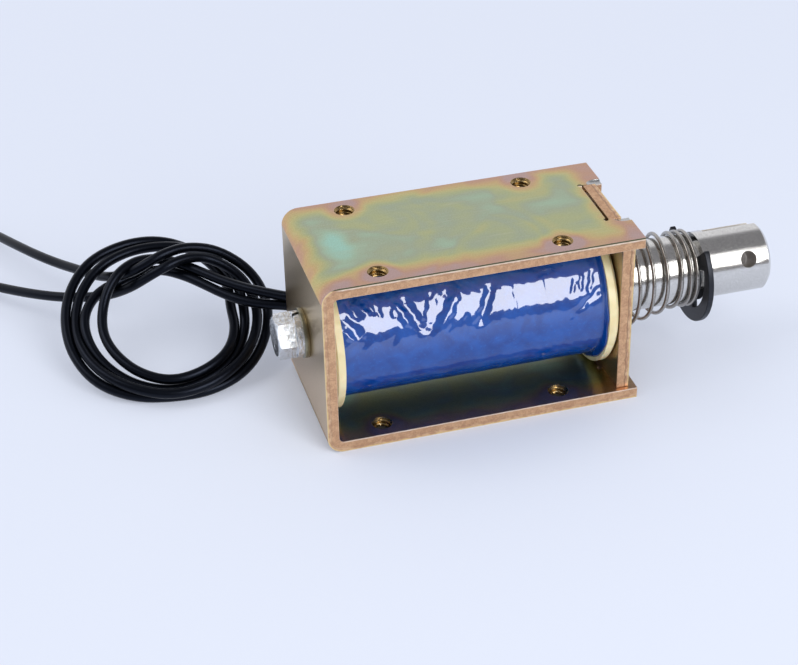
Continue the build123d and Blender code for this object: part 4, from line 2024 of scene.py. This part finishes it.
def wire_curve(name: str, points: list[Vector], diameter: float) -> Object:
    """Make a round wire as a curve of one smooth spline.

    Args:
        name: The object's name.
        points: The spline's control points.
        diameter: The wire's diameter.

    Returns:
        The curve.
    """
    data = bpy.data.curves.new(name, "CURVE")
    data.dimensions = "3D"
    data.bevel_depth = diameter / 2
    data.bevel_resolution = 4
    data.use_fill_caps = True
    spline = data.splines.new("NURBS")
    spline.points.add(len(points) - 1)
    for point, place in zip(spline.points, points):
        point.co = (*place, 1.0)
    spline.order_u = 3
    spline.use_endpoint_u = True
    spline.resolution_u = 6
    return link_new(name, data)


class Lead(Enum):
    """The two lead wires."""

    UPPER = "upper"
    LOWER = "lower"


@dataclass(frozen=True)
class Route:
    """One lead's real length in metres, and its way in millimetres.

    The start runs from its splice to the loop, and the end from the loop to its stripped
    end. Each key of the loop is an angle in degrees, a radius and a height off its plane.
    """

    length: float
    start: tuple[Triple, ...]
    keys: tuple[Triple, ...]
    end: tuple[Triple, ...]

    @staticmethod
    def metres(points: tuple[Triple, ...]) -> list[Vector]:
        """Give points in metres."""
        return [Vector([part * MM for part in point]) for point in points]

    def at(self, degrees: float) -> tuple[float, float]:
        """Read the loop's radius and height between two keys.

        Args:
            degrees: The angle to read at.

        Returns:
            The radius and the height off the loop's plane, in metres.
        """
        for before, after in zip(self.keys, self.keys[1:]):
            if degrees <= after[0]:
                share = smoothstep(before[0], after[0], degrees)
                return tuple((a + (b - a) * share) * MM for a, b in zip(before[1:], after[1:]))
        return tuple(part * MM for part in self.keys[-1][1:])


ROUTES = {
    Lead.UPPER: Route(
        length=0.361,
        start=(
            (-12.0, 11.0, 15.9), (-17.0, 11.5, 15.8), (-21.8, 13.5, 15.65), (-26.2, 16.2, 15.5),
            (-30.4, 19.1, 15.4), (-34.0, 21.7, 15.5), (-37.5, 24.6, 15.6), (-41.0, 27.9, 15.9),
            (-44.4, 31.6, 16.4), (-47.8, 35.2, 16.9),
        ),
        keys=(
            (90.0, 12.6, 2.5), (112.5, 12.8, 3.6), (135.0, 12.3, 4.4), (157.5, 12.5, 3.2),
            (180.0, 13.0, 1.4), (225.0, 14.6, 1.7), (270.0, 17.5, 2.2), (315.0, 17.0, 2.2),
            (360.0, 13.6, 0.6), (405.0, 16.2, -1.1), (450.0, 19.6, -0.6), (495.0, 21.3, 0.0),
            (540.0, 20.7, 0.0), (585.0, 21.3, 0.0), (630.0, 19.9, 0.0), (675.0, 21.9, 0.0),
            (720.0, 21.6, 0.2), (742.5, 20.6, 1.3), (765.0, 17.6, 3.8),
        ),
        end=(
            (-46.2, 36.9, 20.0), (-51.0, 35.7, 20.0), (-54.9, 35.1, 18.7), (-58.0, 35.7, 16.8),
            (-61.0, 38.4, 14.6), (-63.8, 42.9, 12.4), (-66.0, 47.6, 10.9), (-68.4, 52.1, 9.9),
            (-71.3, 57.1, 8.8), (-75.3, 64.0, 7.8), (-79.6, 73.1, 6.4), (-83.6, 83.6, 4.2),
            (-88.0, 92.6, 2.3), (-93.2, 100.0, 1.2), (-98.8, 106.2, 1.05),
        ),
    ),
    Lead.LOWER: Route(
        length=0.344,
        start=(
            (-12.0, 9.9, 12.9), (-17.0, 10.2, 12.95), (-21.6, 12.6, 13.1), (-25.2, 16.0, 13.3),
            (-29.8, 18.5, 13.4), (-34.2, 20.3, 13.4), (-38.1, 22.7, 13.6), (-41.5, 26.0, 14.1),
            (-44.7, 29.7, 14.8), (-47.9, 33.2, 15.4),
        ),
        keys=(
            (90.0, 10.2, 2.0), (112.5, 11.4, 0.4), (135.0, 13.3, 0.0), (157.5, 15.4, 0.8),
            (180.0, 16.9, 1.2), (225.0, 17.4, 0.4), (270.0, 18.6, 0.2), (315.0, 18.2, 0.3),
            (360.0, 16.4, 0.8), (405.0, 16.9, 1.1), (450.0, 16.9, 0.9), (495.0, 18.4, 0.5),
            (540.0, 18.7, 0.1), (585.0, 19.4, 1.5), (607.5, 20.0, 2.2), (630.0, 20.8, 2.1),
            (675.0, 20.4, 1.9), (720.0, 19.2, 0.9), (742.5, 17.8, 2.2), (765.0, 14.6, 4.4),
        ),
        end=(
            (-47.0, 34.0, 19.1), (-51.6, 32.6, 18.6), (-55.2, 33.0, 16.7), (-58.7, 34.9, 13.7),
            (-62.1, 37.9, 10.9), (-65.5, 40.4, 9.3), (-69.0, 42.8, 8.3), (-73.3, 46.1, 7.3),
            (-78.0, 50.7, 6.2), (-83.0, 56.7, 4.8), (-88.5, 64.0, 3.2), (-93.7, 71.8, 1.8),
            (-100.0, 78.4, 1.1), (-107.0, 83.0, 1.05),
        ),
    ),
}


@dataclass(frozen=True)
class Leads:
    """The two flying leads, wound together into a loose loop and then let go."""

    diameter: float = 2.1 * MM
    loop_centre: Triple = (-53.31 * MM, 28.6 * MM, 9.5 * MM)
    loop_across: Triple = (0.99190, -0.12699, 0.0)
    loop_tilt: float = 25.0
    turn_step: float = 22.5

    def points(self, route: Route) -> list[Vector]:
        """Work out one lead's whole way, with its turns in the leaning loop.

        Args:
            route: The lead's route.

        Returns:
            The points from its splice to its stripped end.
        """
        across = Vector(self.loop_across).normalized()
        level = Vector(Z_AXIS).cross(across)
        tilt = math.radians(self.loop_tilt)
        along = level * math.cos(tilt) + Vector(Z_AXIS) * math.sin(tilt)
        upright = across.cross(along)
        first, last = route.keys[0][0], route.keys[-1][0]
        turns = []
        for k in range(round((last - first) / self.turn_step) + 1):
            degrees = first + k * self.turn_step
            radius, lift = route.at(degrees)
            angle = math.radians(degrees)
            flat = across * math.cos(angle) + along * math.sin(angle)
            turns.append(Vector(self.loop_centre) + flat * radius + upright * lift)
        return route.metres(route.start) + turns + route.metres(route.end)

    def length(self, lead: Lead) -> float:
        """Give a lead's real length in metres."""
        return ROUTES[lead].length

    def build(self, jacket: Material, tip_metal: Material) -> None:
        """Args:
            jacket: The insulation's finish.
            tip_metal: The stripped ends' finish.
        """
        for lead, route in ROUTES.items():
            points = self.points(route)
            cord = wire_curve(f"lead_wire_{lead.value}", points, self.diameter)
            dress(cord, jacket)
            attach(cord, Body.FRAME.value)
            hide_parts(f"lead_{lead.value}_exit", f"lead_{lead.value}_tail", "lead_loop")
            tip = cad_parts[f"lead_{lead.value}_tip"]
            dress_node(tip, tip_metal)
            self.length(lead)
            LOG.info("lead %s: %d points", lead.value, len(points))


def dress_node(node: Object, material: Material) -> None:
    """Give a carried-over CAD node its finish.

    Args:
        node: The CAD node's object.
        material: Its finish.
    """
    dress(node, material)
    LOG.info("kept node %s", node.name)


def place_piece(piece: Object, body: Body, slot: str, *nodes: str) -> None:
    """Let a new piece ride on its body in place of the CAD nodes that it stands for.

    Args:
        piece: The new piece.
        body: The body that carries it.
        slot: The material slot's name; not used.
        nodes: The CAD nodes that it replaces.
    """
    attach(piece, body.value)
    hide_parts(*nodes)
    LOG.info("%s on %s: %d faces", piece.name, body.value, len(piece.data.polygons))


class Solenoid:
    """The whole object, built from its sub-assemblies."""

    def __init__(self) -> None:
        """Read the driving places from the frame and build the shared effects."""
        self.effects = Effects()
        self.low, self.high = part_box("channel_frame")
        plunger_low, plunger_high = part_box("plunger")
        self.axis = (plunger_low.z + plunger_high.z) / 2
        self.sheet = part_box("bobbin")[0].x - self.low.x
        self.channel = Channel((self.low.z + self.high.z) / 2, self.sheet)

    def metal(self, name: str, tones: Tones, roughness: float, **details: float) -> Material:
        """Build a plain metal finish.

        Args:
            name: The material's name.
            tones: Its colour, and that of its edges and marks.
            roughness: Its least roughness.
            details: Other values of the finish, by name.

        Returns:
            The material.
        """
        return PlainMetal(name, self.effects, *tones, roughness, **details).build()

    def steel(self) -> tuple[Material, Material, Material]:
        """Build the finishes of the sheet steel.

        Returns:
            The skin, the channel's cut edge and the end plate's cut edge.
        """
        low, high = self.low, self.high
        plate_low, plate_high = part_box("end_plate")
        skin = ChromateSteel(
            "yellow passivated skin",
            self.effects,
            middle_x=(low.x + high.x) / 2,
            half_length=(high.x - low.x) / 2,
            half_width=(high.y - low.y) / 2,
            hole_x=self.channel.hole_x,
            hole_y=self.channel.hole_y,
        )
        edge = ShearedSteel(
            "sheared edge",
            self.effects,
            rear_x=low.x,
            height=high.z,
            bend_radius=self.channel.bend_inside + self.sheet,
            sheet=self.sheet,
            burr=0.2,
        )
        plate_edge = ShearedSteel(
            "end plate edge",
            self.effects,
            rear_x=plate_low.x,
            height=plate_high.z,
            bend_radius=self.sheet,
            sheet=plate_high.x - plate_low.x,
            front_x=plate_high.x,
        )
        return skin.build(), edge.build(), plate_edge.build()

    def fixed_parts(self) -> None:
        """Build everything that stands still with the channel."""
        fx = self.effects
        skin, edge, plate_edge = self.steel()
        thread = self.metal("cut thread", (linear(168, 140, 92), linear(240, 226, 188)), 0.2)
        staked = self.metal("staked steel", (linear(202, 202, 200), linear(236, 236, 234)), 0.25)
        channel = self.channel.build(skin, edge, thread, staked)
        place_piece(channel, Body.FRAME, "zinc_yellow_steel", "channel_frame")
        plate = EndPlate(self.axis, self.sheet).build(skin, plate_edge)
        place_piece(plate, Body.FRAME, "end_plate_steel", "end_plate")
        nylon = Moulding("cream nylon", fx, linear(234, 220, 178), linear(220, 203, 154), subsurface=0.15)
        place_piece(Spool(self.axis).build(nylon.build()), Body.FRAME, "cream_nylon", "bobbin")
        tape = CoilTape(self.axis).build(TapeFilm("blue film tape", fx).build())
        place_piece(tape, Body.FRAME, "blue_tape", "coil_tape")
        bright = self.metal(
            "bright zinc",
            (linear(236, 239, 243), linear(250, 251, 252)),
            0.12,
            grain_scale=0.9,
            grain_depth=0.26 * MM,
            mark_amount=0.12,
        )
        olive = self.metal("olive zinc", (linear(148, 143, 120), linear(186, 180, 156)), 0.24)
        fastener = RearFastener(self.axis)
        place_piece(fastener.screw(bright), Body.FRAME, "zinc_bright_steel", "rear_screw")
        flat = fastener.washer("flat_washer", "plain_washer", olive, False)
        place_piece(flat, Body.FRAME, "zinc_bright_steel", "flat_washer")
        lock = fastener.washer("spring_washer", "lock_washer", bright, True)
        place_piece(lock, Body.FRAME, "zinc_bright_steel", "spring_washer")

    def moving_parts(self) -> None:
        """Build the plunger, its clip and its spring."""
        nickel = self.metal(
            "bright nickel",
            (linear(226, 224, 220), linear(244, 242, 238)),
            0.1,
            turning_pitch=0.28 * MM,
            turning_depth=0.0015 * MM,
        )
        milled = self.metal("milled steel", (linear(206, 200, 192), linear(226, 220, 212)), 0.5)
        place_piece(Armature(self.axis).build(nickel, milled), Body.PLUNGER, "nickel_plunger", "plunger")
        black = self.metal(
            "black oxide",
            (linear(52, 54, 60), linear(120, 122, 128)),
            0.34,
            metallic=0.8,
            mark_amount=0.15,
        )
        place_piece(RetainingClip(self.axis).build(black), Body.CLIP, "black_clip", "e_clip")
        steel = self.metal("spring steel", (linear(178, 174, 168), linear(226, 224, 220)), 0.2)
        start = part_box("end_plate")[1].x
        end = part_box("e_clip")[0].x
        spring = ReturnSpring(self.axis).build(start, end, steel)
        place_piece(spring, Body.FRAME, "spring_steel", "return_spring")
        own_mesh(spring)

    def hidden_parts(self) -> None:
        """Give the pieces inside and the splices their finishes, and build the leads."""
        fx = self.effects
        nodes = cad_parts
        brass = self.metal("drawn brass", (linear(206, 172, 104), linear(236, 214, 150)), 0.24)
        dress_node(nodes["guide_tube"], brass)
        core = self.metal("turned core steel", (linear(168, 166, 160), linear(210, 208, 204)), 0.3)
        dress_node(nodes["fixed_core"], core)
        dress_node(nodes["winding"], MagnetWire("magnet wire", fx).build())
        sleeve = Moulding("sleeve film", fx, linear(214, 206, 180), linear(190, 176, 140), 0.3).build()
        tin = self.metal("tinned copper", (linear(196, 190, 178), linear(226, 222, 212)), 0.3)
        for lead in Lead:
            dress_node(nodes[f"splice_sleeve_{lead.value}"], sleeve)
            dress_node(nodes[f"solder_joint_{lead.value}"], tin)
        Leads().build(WireJacket("black insulation", fx).build(), tin)

    def build(self) -> None:
        """Build the whole object."""
        self.hidden_parts()
        self.fixed_parts()
        self.moving_parts()


def main() -> None:
    """Set the stage and build the object."""
    logging.basicConfig(level=logging.INFO, format="%(name)s: %(message)s")
    low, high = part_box("channel_frame")
    Studio().build((low + high) / 2)
    Solenoid().build()


if __name__ == "__main__":
    main()
